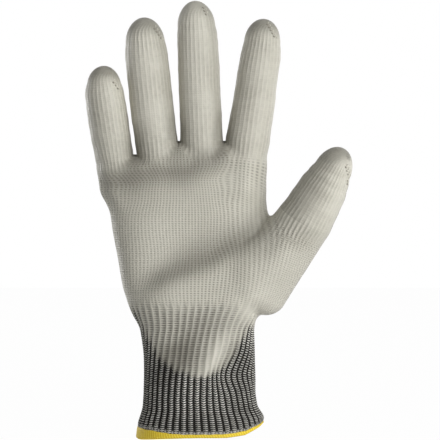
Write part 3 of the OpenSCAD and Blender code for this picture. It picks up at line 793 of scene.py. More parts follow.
class Limb:
    """A finger or the thumb: its centre line, its ring planes, its bend zones and its knit's coordinates."""

    def __init__(self, name, chain, ribs, cut, turned, pole, parts, zones, seams):
        self.name, self.ribs, self.cut = name, ribs, cut
        self.parts, self.zones, self.seams = parts, zones, seams
        self.cut_way, self.side, self.forward = turned[:, 2], turned[:, 0], -turned[:, 1]
        self.pole = turned @ unit(pole)
        self.centres = np.array([c for c, _ in chain])
        self.radii = np.array([r for _, r in chain])
        steps = np.diff(self.centres, axis=0)
        self.lengths = np.linalg.norm(steps, axis=1)
        self.ways = steps / self.lengths[:, None]
        self.at = np.concatenate([[0], np.cumsum(self.lengths)]) - self.lengths[0]
        self.folds = self.at[2:-1]

    def centre(self, s):
        return np.stack([np.interp(s, self.at, self.centres[:, k]) for k in range(3)], -1)

    def way(self, s):
        """The way along the limb, turning smoothly at its joints and square to the cut plane there."""
        s = np.atleast_1d(np.asarray(s, float))
        middles = (self.at[:-1] + self.at[1:]) / 2
        d = np.stack([np.interp(s, middles, self.ways[:, k]) for k in range(3)], -1)
        t = ease((s - self.cut) / 9)[:, None]
        d = self.cut_way * (1 - t) + d * t
        return unit_rows(d)

    def frame(self, s):
        """The way along the limb, its side and its back, at each place."""
        n = self.way(s)
        x = unit_rows(self.side - (n @ self.side)[:, None] * n)
        return n, x, np.cross(n, x)

    def coordinates(self, p):
        """Place along the limb, angle about it and distance from its centre line."""
        best, s, angle = np.full(len(p), 1e9), np.zeros(len(p)), np.zeros(len(p))
        for k in range(len(self.ways)):
            t = (p - self.centres[k]) @ self.ways[k]
            t = np.clip(t, -30 if k == 0 else 0, self.lengths[k])
            off = p - self.centres[k] - t[:, None] * self.ways[k]
            away = np.linalg.norm(off, axis=1)
            x = unit(self.side - (self.ways[k] @ self.side) * self.ways[k])
            y = np.cross(self.ways[k], x)
            near = away < best
            best = np.where(near, away, best)
            s = np.where(near, self.at[k] + t, s)
            angle = np.where(near, np.arctan2(off @ y, off @ x), angle)
        return s, angle, best


# Bend zones along each finger from its root, and the seams between its pieces
FINGER_ZONES = (
    ((-0.5, 9), (11, 25), (27, 39)),
    ((-0.5, 13), (17, 31), (40, 53)),
    ((-0.5, 13.5), (20.5, 35.5), (46, 60)),
    ((-0.5, 13), (17, 31), (39.5, 52.5)),
)
FINGER_SEAMS = ((10, 26), (15, 35.5), (17, 41), (15, 35))
FINGER_POLE = (0.6, -0.42, 0.8)
THUMB_ZONES = ((0.5, 10), (12.5, 26.5))
THUMB_SEAMS = (11.3,)
THUMB_POLE = (0.62, -0.35, 0.8)

LIMBS = [
    Limb(
        name, CHAINS[f], FINGER_RIBS, -CUT_BELOW_ROOT, np.eye(3), FINGER_POLE, ("root", "knuckle", "tip"),
        FINGER_ZONES[f], FINGER_SEAMS[f],
    )
    for f, name in enumerate(NAMES)
]
THUMB = Limb(
    "thumb", THUMB_CHAIN, THUMB_RIBS, THUMB_CUT, THUMB_TURN, THUMB_POLE, ("root", "tip"),
    THUMB_ZONES, THUMB_SEAMS,
)
LIMBS.append(THUMB)
THUMB_NUMBER = LIMBS.index(THUMB)


def limb_wale(limb, angle):
    """Wale coordinate about a limb, from 0 at the middle of its back."""
    return (((angle - math.pi / 2) / (2 * math.pi)) % 1.0) * limb.ribs


# ---------------------------------------------------------------- relief of the knit


RIBS_END = 72


def cuff_rib_share(p):
    """1 on the ribbed cuff, 0 on the palm, where the ribs have run out."""
    x, _, z = p.T
    share = 1 - ease((z - RIBS_END + 1.2 * np.sin(x * 0.9)) / 7)
    return share * (1 - ease((x - 28) / 7) * ease((z - 60) / 5))


# Where the dip ends on the cuff's palm side: a round tongue
DIP_X = (-36, -29.5, -23.5, -16.8, -10.7, -5.6, 1.1, 6.7, 10.6, 15.1, 18.5, 21.9, 24.5, 27.5, 31.5, 36)
DIP_Z = (70, 57, 46.5, 41.2, 37.8, 36.4, 35.2, 36.8, 38.8, 42, 46, 51.6, 56.6, 61.2, 64.5, 60)


def dip_depth(p):
    """How far inside the coated area a point of the cuff or the hand lies, in mm; below 0 it is bare."""
    x, y, z = p.T
    slope = np.interp(x + 1.5, DIP_X, DIP_Z) - np.interp(x - 1.5, DIP_X, DIP_Z)
    below = (z - np.interp(x, DIP_X, DIP_Z)) / np.sqrt(1 + (slope / 3) ** 2)
    thumb_back = 13.5 * ease((x - 24 - 0.63 * (z - 84)) / 12) * ease((z - 62) / 26)
    side = 4.0 + 0.8 * np.sin(z * 0.31) + 0.5 * np.sin(z * 0.83 + 1) - y - thumb_back
    return np.minimum(below, side)


def rib_form(u):
    """A knitted rib: round on top, with a narrower groove, from -1 to 1."""
    c = np.cos(2 * np.pi * u)
    return c + 0.15 * (c * c - 0.5)


# The yellow band's upper edge in front and on the back, and how far the cuff's lower edge rises in front
HEM_X = (-36, -34, -28, -22, -17, -8, 0, 15, 25, 33, 36)
HEM_FRONT = (7.3, 7.1, 6.5, 5.3, 4.2, 3.05, 2.95, 3.2, 3.9, 4.8, 5.0)
HEM_BACK = (7.3, 6.2, 4.4, 3.6, 3.2, 3.0, 3.0, 3.0, 3.2, 3.8, 5.0)
LIFT_HEIGHT = 20
HEM_RISE = (0.2, 0.3, 1.3, 2.0, 2.4, 2.9, 3.1, 3.0, 4.0, 7.4, 9.5)


def hem_height(x, y):
    """Height of the yellow band about the cuff: rolled up at the little finger's side, low in front."""
    t = ease((y + 12) / 24)
    front, back = np.interp(x, HEM_X, HEM_FRONT), np.interp(x, HEM_X, HEM_BACK)
    return front * (1 - t) + back * t + 0.12 * np.sin(x * 0.9)


def lifted(p):
    """The cuff's lower edge hangs in a gentle wave: it rises in front and at the thumb side."""
    x, y, z = p.T
    behind = ease((y + 8) / 20) * (1 - 0.85 * ease((x - 14) / 12))
    rise = np.interp(x, HEM_X, HEM_RISE) * (1 - behind)
    out = p.copy()
    out[:, 2] += rise * np.clip(1 - z / LIFT_HEIGHT, 0, 1) ** 2
    return out


CUFF_RIB_HEIGHT = 0.52
COATED_RIB_HEIGHT = 0.18
LIMB_RIB_HEIGHT = 0.08


def knit_height(p, u):
    """Height of the ribs over the plain form on the cuff and the hand."""
    share = cuff_rib_share(p)
    coated = ease(dip_depth(p) / 12 + 0.5)
    height = CUFF_RIB_HEIGHT * (1 - coated) + COATED_RIB_HEIGHT * coated
    over_hem = p[:, 2] - hem_height(p[:, 0], p[:, 1])
    return share * height * rib_form(u) * ease((over_hem + 0.5) / 4) - 0.25 * ease(-over_hem + 0.3)


def limb_height(limb, s, u):
    """Height of the ribs along a finger or the thumb."""
    fade = ease((limb.at[-1] + limb.radii[-1] * 0.55 - s) / 9)
    patch = 0.62 + 0.38 * np.sin(0.09 * s + 0.8 + 0.16 * u)
    if limb is THUMB:
        patch = patch + 3.5 * bell(s, -5, 7) * bell(u, 21.8, 3.6)
    return LIMB_RIB_HEIGHT * fade * patch * np.cos(2 * np.pi * u)


# Where a limb's own ribs begin below its root, over what length, and how far out from it they reach
FINGER_SHARE = (18, 14, 3.5)
THUMB_SHARE = (19, 9, 4)


def limb_shares(p):
    """For points of the hand: the limb each is nearest to, and how far it belongs to that limb's ribs."""
    best = np.zeros(len(p))
    pick = np.zeros(len(p), int)
    where_s, where_u = np.zeros(len(p)), np.zeros(len(p))
    for k, limb in enumerate(LIMBS):
        s, angle, away = limb.coordinates(p)
        start, length, reach = THUMB_SHARE if limb is THUMB else FINGER_SHARE
        share = ease((s + start) / length) * ease((limb.radii[1] + reach - away) / 3)
        near = share > best
        best = np.where(near, share, best)
        pick = np.where(near, k, pick)
        where_s = np.where(near, s, where_s)
        where_u = np.where(near, limb_wale(limb, angle), where_u)
    return best, pick, where_s, where_u


# ---------------------------------------------------------------- pieces: the hand

CUT_NEAR = 3.0
THUMB_SIDE = 41.5
THUMB_REACH = 21


def cut_with(obj, point, normal, drop_test):
    """Cuts the mesh along a plane and drops the faces beyond it that pass drop_test."""
    bm = bmesh.new()
    bm.from_mesh(obj.data)
    p, n = Vector(point) * MM, Vector(normal)

    def within(face, low, high):
        middle = face.calc_center_median()
        return low < (middle - p).dot(n) < high and drop_test(middle)

    near = [f for f in bm.faces if within(f, -CUT_NEAR * MM, CUT_NEAR * MM)]
    edges = {e for f in near for e in f.edges}
    verts = {v for f in near for v in f.verts}
    bmesh.ops.bisect_plane(bm, geom=list(near) + list(edges) + list(verts), plane_co=p, plane_no=n, dist=1e-7)
    gone = [f for f in bm.faces if within(f, 0, math.inf)]
    bmesh.ops.delete(bm, geom=gone, context="FACES")
    bm.to_mesh(obj.data)
    bm.free()


def between_roots(f, g):
    """Place across halfway between neighbouring fingers."""
    return (ROOT_X[f] + ROOT_R[f] + ROOT_X[g] - ROOT_R[g]) / 2


def finger_zone(f):
    """The places across between which the hand's mesh belongs to a finger."""
    low = -math.inf if f == 0 else between_roots(f - 1, f)
    high = THUMB_SIDE if f == 3 else between_roots(f, f + 1)
    return low, high


NET = 0.6
LINING_NET = 2.4
CUFF_TOP = 60.0
HAND_BOX = ((-64.0, -36.0, CUFF_TOP - 2), (80.0, 22.0, 170.5))
LINING_BOX = ((-60.0, -34.0, 0.0), (76.0, 20.0, 172.0))


def cut_limbs(obj):
    """Opens the hand's mesh where the fingers and the thumb begin."""
    for f in range(4):
        low, high = finger_zone(f)
        z = ROOT_Z[f] - CUT_BELOW_ROOT
        cut_with(obj, (0, 0, z), (0, 0, 1), lambda c: low < c.x / MM < high and c.z / MM > z - 4)

    def of_thumb(c):
        return THUMB.coordinates(np.array([c]) / MM)[2][0] < THUMB_REACH and c.x / MM > THUMB_SIDE

    cut_with(obj, THUMB_ROOT + THUMB_CUT * THUMB_WAY, THUMB_WAY, of_thumb)


def make_hand():
    """The outside of the hand above the cuff, open where the limbs begin."""
    verts, faces = surface_net(*HAND_BOX, NET)
    verts = relax(verts, faces, 2)
    obj = make_object("palm_coat", verts, faces.tolist())
    cut_with(obj, (0, 0, CUFF_TOP), (0, 0, -1), lambda c: True)
    cut_limbs(obj)
    return obj


def mesh_points(obj):
    """A mesh's vertices in mm."""
    co = np.empty(len(obj.data.vertices) * 3)
    obj.data.vertices.foreach_get("co", co)
    return co.reshape(-1, 3) / MM


def set_points(obj, p):
    obj.data.vertices.foreach_set("co", (p * MM).ravel())
    obj.data.update()


def hand_height(p):
    """Height of all ribs over the plain form, for points of the cuff and the hand."""
    height = knit_height(p, body_wale(p))
    share, pick, s, limb_u = limb_shares(p)
    for k, limb in enumerate(LIMBS):
        mine = (pick == k) & (share > 0)
        height[mine] += share[mine] * limb_height(limb, s[mine], limb_u[mine])
    return height


def shown_normals(p):
    """Normals of the ribbed surface over points of the plain one."""
    return unit_rows(slopes(lambda q: field(q) - hand_height(q), p, 0.08))


def pattern_share(share, pick, s):
    """How far a limb's own pattern shows: it begins a little later than its ribs."""
    return ease((share - 0.15) / 0.65) * np.where(pick == THUMB_NUMBER, ease((s + 10) / 8), 1.0)


def dress_hand(obj):
    """Gives the hand's mesh its knit's coordinates, values and relief."""
    p = mesh_points(obj)
    n = unit_rows(gradient(p))
    share, pick, s, limb_u = limb_shares(p)
    # shade holds the painted shade and smooth the painted light, for the material
    point_values(obj, coat=dip_depth(p), limb=pattern_share(share, pick, s), rib=cuff_rib_share(p),
                 shade=shade(p), smooth=painted_light(p), hem=np.zeros(len(p)))
    corner_uv(obj, "knit", body_wale(p), body_course(p), RIBS)
    limb_period = np.where(pick == THUMB_NUMBER, THUMB_RIBS, FINGER_RIBS)
    corner_uv(obj, "limb_knit", limb_u, s / COURSE, limb_period)
    set_points(obj, p + n * hand_height(p)[:, None])
    keep_normals(obj, shown_normals(p))
    return obj


# ---------------------------------------------------------------- pieces: fingers and thumb

ROW_STEP = 1.0
RIB_POINTS = 6
TIP_ROWS = 18
LINING_ROW = 3.0
LINING_COLS = 40
LINING_TIP_ROWS = 6
LIP_INSET = 0.35
LINING_DEPTH = 1.7
TIP_DIP = 11
TIP_TURN = 0.8


def limb_grid(limb, depth, row_step, cols, tip_rows):
    """A limb's surface in rings: its points, the rings' places, the columns' wales and the rays' ways."""
    angles = math.pi / 2 + 2 * math.pi * np.arange(cols + 1) / cols
    end = limb.at[-1]
    marks = [limb.cut, *limb.seams, end]
    places = [limb.cut - 2 * row_step, limb.cut - row_step, limb.cut]
    for a, b in zip(marks, marks[1:]):
        count = max(1, round((b - a) / row_step))
        places += [a + (b - a) * (i + 1) / count for i in range(count)]
    n, x, y = limb.frame(places)
    ca, sa = np.cos(angles), np.sin(angles)
    ways = ca[None, :, None] * x[:, None] + sa[None, :, None] * y[:, None]
    centres = np.repeat(limb.centre(places)[:, None], cols + 1, 1)
    lats = np.linspace(0, math.pi / 2, tip_rows + 1)[1:]
    axis = n[-1]
    about = unit(np.cross(axis, limb.pole))
    tilt = math.acos(np.clip(axis @ limb.pole, -1, 1))
    tips = []
    for lat in lats:
        d = math.cos(lat) * (ca[:, None] * x[-1] + sa[:, None] * y[-1]) + math.sin(lat) * axis
        a = tilt * ease(lat / (math.pi / 2)) * TIP_TURN
        across = np.cross(about, d) * math.sin(a) + np.outer(d @ about, about) * (1 - math.cos(a))
        tips.append(d * math.cos(a) + across)
    ways = np.concatenate([ways, np.array(tips)])
    centres = np.concatenate([centres, np.broadcast_to(limb.centre(end), (tip_rows, cols + 1, 3))])
    flat_c, flat_w = centres.reshape(-1, 3), ways.reshape(-1, 3)
    r = along_rays(flat_c, flat_w, 3.0, depth)
    points = (flat_c + flat_w * r[:, None]).reshape(ways.shape)
    s = np.concatenate([places, end + limb.radii[-1] * lats])
    return points, s, limb.ribs * np.arange(cols + 1) / cols, ways


# Soft creases about each fold of a limb: place past it, half length and depth
CREASES = ((0, 2.4, 0.16), (4.6, 2.0, 0.08), (-6, 4.0, -0.12))


def crease(limb, s, ways):
    """Depth of the soft creases on the palm side of a limb's folds."""
    palm = ease((ways @ limb.forward - 0.1) / 0.7)
    depth = np.zeros(len(s))
    for fold in limb.folds:
        for past, length, deep in CREASES:
            depth += deep * bell(s, fold + past, length)
    return depth * palm


def limb_coat(limb, s, ways):
    """Depth inside the coating, as dip_depth, for a finger or the thumb: its palm side and all of its tip."""
    forward, radius = ways @ limb.forward, limb.radii[-1]
    side = (0.33 + 0.05 * np.sin(s * 0.37 + 2) + 0.03 * np.sin(s * 0.9) + forward) * radius
    tip_start = limb.at[-1] + radius - TIP_DIP + 0.8 * np.sin(3 * np.arctan2(forward, ways @ limb.side))
    return np.maximum(side, s - tip_start)


# Strengths of the painted shade and the painted light on the fingers and the thumb
LONG_FINGERS = ("ring", "middle")
TIP_SHADE = 1.1
MIDDLE_TIP_SHARE = 0.4
FINGER_SIDE_SHADE = 0.5
THUMB_SIDE_SHADE = 0.55
THUMB_PAINTED_LIGHT = 0.9
FINGER_PAINTED_LIGHT = 0.8


def tip_shade(limb, s, n):
    """Painted shade: darker on top of the tips, and on one side of the two longest fingers and the thumb."""
    shade_paint = TIP_SHADE * ease((n[:, 2] + 0.1) / 0.7) * ease((s - limb.at[-1] + 3) / 5)
    if limb.name == "middle":
        shade_paint = MIDDLE_TIP_SHARE * shade_paint
    if limb.name in LONG_FINGERS:
        shade_paint = shade_paint + FINGER_SIDE_SHADE * ease((n[:, 0] - 0.35) / 0.5)
    if limb is THUMB:
        shade_paint = shade_paint + THUMB_SIDE_SHADE * ease((0.35 - n[:, 0]) / 0.7)
    return shade_paint


def tip_painted_light(limb, s, n):
    """Painted light: paler on the thumb's outer side, and down the two fingers' other side."""
    if limb is THUMB:
        return THUMB_PAINTED_LIGHT * ease((n[:, 0] - 0.1) / 0.5) * ease((s - 1) / 14)
    return FINGER_PAINTED_LIGHT * ease((0.4 - n[:, 0]) / 0.6) * ease((s - 1) / 14) * (limb.name in LONG_FINGERS)


def limb_pieces(limb, kind, depth, row_step, cols, tip_rows):
    """A limb's pieces, split at its seams."""
    points, s, u, ways = limb_grid(limb, depth, row_step, cols, tip_rows)
    flat, flat_w = points.reshape(-1, 3), ways.reshape(-1, 3)
    rows, wide = points.shape[:2]
    s_all, u_all = np.repeat(s, wide), np.tile(u, rows)
    n = unit_rows(gradient(flat))
    outer = depth == 0
    if outer:
        height = limb_height(limb, s_all, u_all) - crease(limb, s_all, flat_w)
        shown = (flat + n * height[:, None]).reshape(points.shape)
        normals = grid_normals(shown)
        near = s < limb.cut + 5
        t = ease((s[near] - limb.cut) / 5)[:, None, None]
        at_cut = shown_normals(points[near].reshape(-1, 3)).reshape(-1, wide, 3)
        normals[near] = at_cut * (1 - t) + normals[near] * t
    else:
        shown = points
        normals = -n.reshape(points.shape)
    normals[-1] = unit(normals[-2].mean(0))
    coat = limb_coat(limb, s_all, flat_w).reshape(rows, wide)
    # painted shade from the folds, and from the tips' tops and shaded sides
    shade_paint = np.clip(shade(flat) + tip_shade(limb, s_all, n), 0, 1).reshape(rows, wide)
    start = 2
    at = [start] + [int(np.argmin(np.abs(s - m))) for m in limb.seams] + [rows - 1]
    pieces = []
    for k, (a, b) in enumerate(zip(at, at[1:])):
        last = b == rows - 1
        pick = np.arange(a, b if last else b + 1)
        p, m = shown[pick], normals[pick]
        if k == 0 and outer:
            p = np.concatenate([(shown[start - 1] - normals[start - 1] * LIP_INSET)[None], p])
            m = np.concatenate([m[:1], m])
            pick = np.concatenate([[a], pick])
        faces = grid_faces(*p.shape[:2])
        p, m = p.reshape(-1, 3), m.reshape(-1, 3)
        wale, along = np.tile(u, len(pick)), np.repeat(s[pick], wide)
        depths, piece_shade_paint = coat[pick].ravel(), shade_paint[pick].ravel()
        if last:
            base = len(p) - wide
            faces += [[base + j, base + j + 1, len(p)] for j in range(wide - 1)]
            p = np.concatenate([p, shown[-1].mean(0)[None]])
            m = np.concatenate([m, normals[-1][:1]])
            wale, along = np.append(wale, limb.ribs / 2), np.append(along, s[-1])
            depths, piece_shade_paint = np.append(depths, coat[-1].mean()), np.append(piece_shade_paint, shade_paint[-1].mean())
        if not outer:
            faces = [face[::-1] for face in faces]
        obj = make_object(f"{limb.name}_{limb.parts[k]}_{kind}", p, faces)
        # shade holds the painted shade and smooth the painted light, for the material
        point_values(obj, coat=depths, limb=np.ones(len(p)), rib=np.zeros(len(p)), shade=piece_shade_paint,
                     smooth=tip_painted_light(limb, along, m), hem=np.zeros(len(p)))
        corner_uv(obj, "knit", wale, along / COURSE)
        corner_uv(obj, "limb_knit", wale, along / COURSE)
        keep_normals(obj, m)
        bend_limb(obj, limb, k)
        pieces.append(obj)
    return pieces


def bend_limb(obj, limb, k):
    """Bakes a limb's piece k's transform. The start and the way of its zone are worked out but not used."""
    low, high = limb.zones[k]
    start = limb.centre(low)
    way = limb.cut_way if k == 0 else unit(limb.centre(high) - start)
    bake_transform(obj)


def limb_nodes(limb, k, layer):
    """CAD nodes that a limb's piece k stands for."""
    part = ("base", "tip")[k] if limb is THUMB else ("base", "middle", "tip")[k]
    if layer == "liner":
        return [f"{limb.name}_{part}_liner"]
    fold = ("root", "end")[k] if limb is THUMB else ("root", "middle", "end")[k]
    return [f"{limb.name}_{fold}_fold", f"{limb.name}_{part}_coating"]


def make_limbs():
    """The outer pieces of the fingers and the thumb, and their linings."""
    all_coats, all_linings = [], []
    for limb in LIMBS:
        coats = limb_pieces(limb, "coat", 0, ROW_STEP, limb.ribs * RIB_POINTS, TIP_ROWS)
        linings = limb_pieces(limb, "lining", LINING_DEPTH, LINING_ROW, LINING_COLS, LINING_TIP_ROWS)
        for k, (coat, inside) in enumerate(zip(coats, linings)):
            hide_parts(*limb_nodes(limb, k, "coating"))
            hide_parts(*limb_nodes(limb, k, "liner"))
        all_coats += coats
        all_linings += linings
    return all_coats, all_linings


COATS, LININGS = make_limbs()

# ---------------------------------------------------------------- pieces: the cuff

RIB_COLS = 10
CUFF_ROW = 0.55
CUFF_LOW = 0.8


def bend_wrist(obj):
    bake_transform(obj)


def around(z, cols):
    """Rays square to the cuff at heights z, spread evenly round it from the middle of the back."""
    z = np.asarray(z, float)
    centres, ways = [], []
    for h in z:
        cx, a, cy, b = (float(v) for v in section(np.array(h)))
        row = arc_at(ARC_PHI, np.full(len(ARC_PHI), h))
        want = row[BACK_MIDDLE] + row[-1] * np.arange(cols + 1) / cols
        phi = np.interp(want % row[-1], row, ARC_PHI)
        x, y = outline(a, b, phi)
        ways.append(np.stack([x, y, 0 * x], 1) / np.hypot(x, y)[:, None])
        centres.append(np.tile([cx, cy, h], (cols + 1, 1)))
    return np.array(centres), np.array(ways)


def cuff_surface(z, cols, depth):
    """Points round the cuff at heights z, on the surface that lies depth inside the glove's."""
    centres, ways = around(z, cols)
    r = along_rays(centres.reshape(-1, 3), ways.reshape(-1, 3), 12.0, depth)
    return (centres.reshape(-1, 3) + ways.reshape(-1, 3) * r[:, None]).reshape(ways.shape)


def make_cuff():
    """The outside of the cuff, with its ribs, up to just inside the hand's lower edge."""
    rows = round((CUFF_TOP - CUFF_LOW) / CUFF_ROW)
    z = np.append(np.linspace(CUFF_LOW, CUFF_TOP, rows + 1), CUFF_TOP + CUFF_ROW)
    cols = RIBS * RIB_COLS
    plain = cuff_surface(z, cols, 0)
    flat = plain.reshape(-1, 3)
    n = unit_rows(gradient(flat))
    normals = shown_normals(flat)
    shown = flat + n * hand_height(flat)[:, None]
    lip = slice(len(flat) - cols - 1, len(flat))
    shown[lip] -= normals[lip] * LIP_INSET
    obj = make_object("cuff_ribs", lifted(shown), grid_faces(len(z), cols + 1))
    over_hem = flat[:, 2] - hem_height(flat[:, 0], flat[:, 1])
    # shade holds the painted shade and smooth the painted light, for the material
    point_values(obj, coat=dip_depth(flat), limb=np.zeros(len(flat)), rib=cuff_rib_share(flat),
                 shade=shade(flat), smooth=painted_light(flat), hem=bell(over_hem, 0.7, 0.9))
    corner_uv(obj, "knit", body_wale(flat), body_course(flat), RIBS)
    corner_uv(obj, "limb_knit", np.zeros(len(flat)), np.zeros(len(flat)))
    keep_normals(obj, normals)
    bend_wrist(obj)
    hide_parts("cuff_knit", "cuff_coating")
    return obj


cuff = make_cuff()

hand = dress_hand(make_hand())
bend_wrist(hand)
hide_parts("palm_coating", "wrist_fold")


def make_hand_lining():
    """The inside of the hand, down to the top of the cuff."""
    verts, faces = surface_net(*LINING_BOX, LINING_NET, LINING_DEPTH)
    obj = make_object("hand_lining", verts, faces[:, ::-1].tolist())
    cut_with(obj, (0, 0, CUFF_LOW + 1), (0, 0, -1), lambda c: True)
    cut_limbs(obj)
    p = mesh_points(obj)
    corner_uv(obj, "knit", body_wale(p), body_course(p), RIBS)
    set_points(obj, lifted(p))
    keep_normals(obj, -unit_rows(gradient(p)))
    bend_wrist(obj)
    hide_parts("palm_liner")
    return obj


lining = make_hand_lining()

# ---------------------------------------------------------------- pieces: hem, elastic threads and closures

STITCH = 1.5
HEM_POINTS = 7
HEM_OUT = 0.45
HEM_SUNK = 0.12
HEM_INSIDE = 2.3
HEM_ROLL = 1.3
HEM_SLANT = 0.55
HEM_WAVE = 0.2


def make_hem():
    """The overlocked band: down the outside of the cuff, round its lower edge and up inside it."""
    cols = round(float(ROUNDS[0]) / STITCH) * HEM_POINTS
    centres, ways = (q[0] for q in around([1.0], cols))
    low, high = (np.linalg.norm((cuff_surface([z], cols, 0)[0] - centres)[:, :2], axis=1) for z in (1.0, 8.0))
    outer = centres + ways * low[:, None]
    top = np.maximum(hem_height(outer[:, 0], outer[:, 1]), HEM_ROLL + 0.3)
    phase = np.arange(cols + 1) / HEM_POINTS
    rows, turns = ((10, 9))
    profile = []
    for t in np.linspace(1, 0, rows):
        out = HEM_OUT * min(1, 4 * (1 - t)) ** 0.5
        profile.append((HEM_ROLL + (top - HEM_ROLL) * t, np.full(cols + 1, HEM_SUNK - out), t))
    half = (HEM_INSIDE + HEM_OUT - HEM_SUNK) / 2
    for k in range(1, turns):
        a = math.pi * k / turns
        profile.append((np.full(cols + 1, HEM_ROLL * (1 - math.sin(a)) + 0.05),
                        np.full(cols + 1, HEM_INSIDE - half * (1 + math.cos(a))), -a / math.pi))
    for z in (HEM_ROLL, 2.4, 3.4):
        profile.append((np.full(cols + 1, z), np.full(cols + 1, HEM_INSIDE - 0.3 * (z > 3)), -1 - z / 4))
    points, across = [], []
    for z, depth, t in profile:
        slant = phase + HEM_SLANT * t
        wave = np.abs(np.sin(np.pi * slant)) ** 0.7
        r = low + (high - low) * np.clip((z - 1) / 7, 0, 1) - depth + HEM_WAVE * (wave - 0.6)
        points.append(np.column_stack([centres[:, :2] + ways[:, :2] * r[:, None], z]))
        across.append(slant)
    points = np.array(points)
    points = lifted(points.reshape(-1, 3)).reshape(points.shape)
    faces = [face[::-1] for face in grid_faces(len(profile), cols + 1)]
    obj = make_object("hem_band", points.reshape(-1, 3), faces)
    keep_normals(obj, -grid_normals(points).reshape(-1, 3))
    corner_uv(obj, "stitch", np.array(across).ravel(), points[:, :, 2].ravel())
    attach(obj, "cuff")
    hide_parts("hem_overlock")
    return obj


hem = make_hem()


ELASTIC_Z = (23, 29, 35, 41, 47)
ELASTIC_RADIUS = 0.4
ELASTIC_SIDES = 8
ELASTIC_COLS = 120
ELASTIC_GAP = 0.1


def tube_points(path, radius, sides):
    """Points of a round tube along a closed loop."""
    along = unit_rows(np.roll(path, -1, 0) - np.roll(path, 1, 0))
    across = unit_rows(np.cross(along, [0, 0, 1.0]))
    up = np.cross(across, along)
    a = 2 * math.pi * np.arange(sides) / sides
    off = np.cos(a)[None, :, None] * across[:, None] + np.sin(a)[None, :, None] * up[:, None]
    return (path[:, None] + radius * off).reshape(-1, 3)


def make_elastic():
    """Threads round the inside of the cuff."""
    verts, faces = [], []
    for z in ELASTIC_Z:
        path = cuff_surface([z], ELASTIC_COLS, LINING_DEPTH + ELASTIC_RADIUS + ELASTIC_GAP)[0][:-1]
        faces += tube_faces(len(path), ELASTIC_SIDES, len(verts), closed=True)
        verts += list(tube_points(path, ELASTIC_RADIUS, ELASTIC_SIDES))
    obj = make_object("elastic_threads", verts, faces)
    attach(obj, "cuff")
    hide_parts("cuff_elastic")
    return obj


elastic = make_elastic()

# Run of each fingertip's closure across the picture, in mm
CLOSURE_RUN = {
    "little": (3.9, -5.6),
    "ring": (5.0, -7.3),
    "middle": (2.2, -5.6),
    "index": (5.0, -9.0),
    "thumb": (3.9, -11.2),
}
BEAD = (0.8, 0.5, 0.4)
BEAD_PITCH = 0.95
BEAD_ASIDE = 0.6
BEAD_LIFT = 0.05
BEAD_SPIN = 35
BEAD_FLAT = 0.5


def image_ray(point):
    """Start and way of the camera's ray through an image point."""
    x, y = point
    size = max(W, H)
    lens = camera_data.lens / camera_data.sensor_width
    way = Vector((x - W / 2 + SHIFT_X * size, H / 2 - y + SHIFT_Y * size, -size * lens))
    turned = camera.matrix_world.to_3x3() @ way
    return camera.matrix_world.translation, turned.normalized()


def tree_of(*objs):
    """A search tree over objects' faces as they stand in the scene."""
    verts, faces = [], []
    for obj in objs:
        base = len(verts)
        verts += [obj.matrix_world @ v.co for v in obj.data.vertices]
        faces += [[base + i for i in f.vertices] for f in obj.data.polygons]
    return BVHTree.FromPolygons(verts, faces)


def place(point, tree):
    """Where the camera's ray through an image point meets a carrier, or its place nearest to that ray."""
    origin, way = image_ray(point)
    found = tree.ray_cast(origin, way)
    if found[0] is None:
        near = tree.find_nearest(origin + way * CAMERA_DISTANCE * MM)
        for _ in range(8):
            near = tree.find_nearest(origin + way * (near[0] - origin).dot(way))
        found = near
    return np.array(found[0]) / MM, np.array(found[1])


bpy.context.view_layer.update()


def make_closure(name):
    """A row of small beads of closing thread, set on the fingertip and turned to either side in turn."""
    carrier = bpy.data.objects[f"{name}_tip_coat"]
    tree = tree_of(carrier)
    centre, _ = place(POINTS[f"{name}_closure"], tree)
    across, upwards = CLOSURE_RUN[name]
    run = np.array([across, 0.0, upwards])
    length = float(np.linalg.norm(run))
    count = round(length / BEAD_PITCH)
    verts, faces, dark = [], [], []
    rows, cols = ((7, 12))
    for k in range(count):
        offset = (k + 0.5) / count - 0.5
        sideways = np.array([run[2], 0, -run[0]]) / length * (BEAD_ASIDE if k % 2 else -BEAD_ASIDE)
        at = centre + run * offset + sideways
        start = Vector((at[0], at[1] - 40, at[2])) * MM
        hit = tree.ray_cast(start, Vector((0, 1, 0)))
        if hit[0] is None:
            hit = tree.find_nearest(Vector(at) * MM)
        p, up = np.array(hit[0]) / MM, unit(hit[1])
        along = unit(run - (run @ up) * up)
        spin = math.radians(BEAD_SPIN if k % 2 else -BEAD_SPIN)
        x = along * math.cos(spin) + np.cross(up, along) * math.sin(spin)
        y = np.cross(up, x)
        faces += tube_faces(rows, cols, len(verts))
        for i in range(rows):
            lat = math.pi * i / (rows - 1) - math.pi / 2
            for j in range(cols):
                a = 2 * math.pi * j / cols
                flat = x * BEAD[0] * math.cos(lat) * math.cos(a) + y * BEAD[1] * math.cos(lat) * math.sin(a)
                rise = BEAD[2] * math.sin(lat) * (BEAD_FLAT if k % 2 else 1.0) + BEAD_LIFT
                verts.append(p + flat + up * rise)
                # every other bead is flatter and painted dark: painted shade of the pits between the loops
                dark.append(k % 2)
    obj = make_object(f"{name}_closure_stitches", verts, faces)
    point_values(obj, dark=dark)
    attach(obj, f"{name}_tip")
    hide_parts(f"{name}_tip_closure")
    return obj


CLOSURES = [make_closure(limb.name) for limb in LIMBS]

# ---------------------------------------------------------------- materials


def colour(r, g, b):
    """Linear colour from an 8-bit screen colour."""
    shares = [c / 255 for c in (r, g, b)]
    return tuple(c / 12.92 if c <= 0.04045 else ((c + 0.055) / 1.055) ** 2.4 for c in shares) + (1.0,)


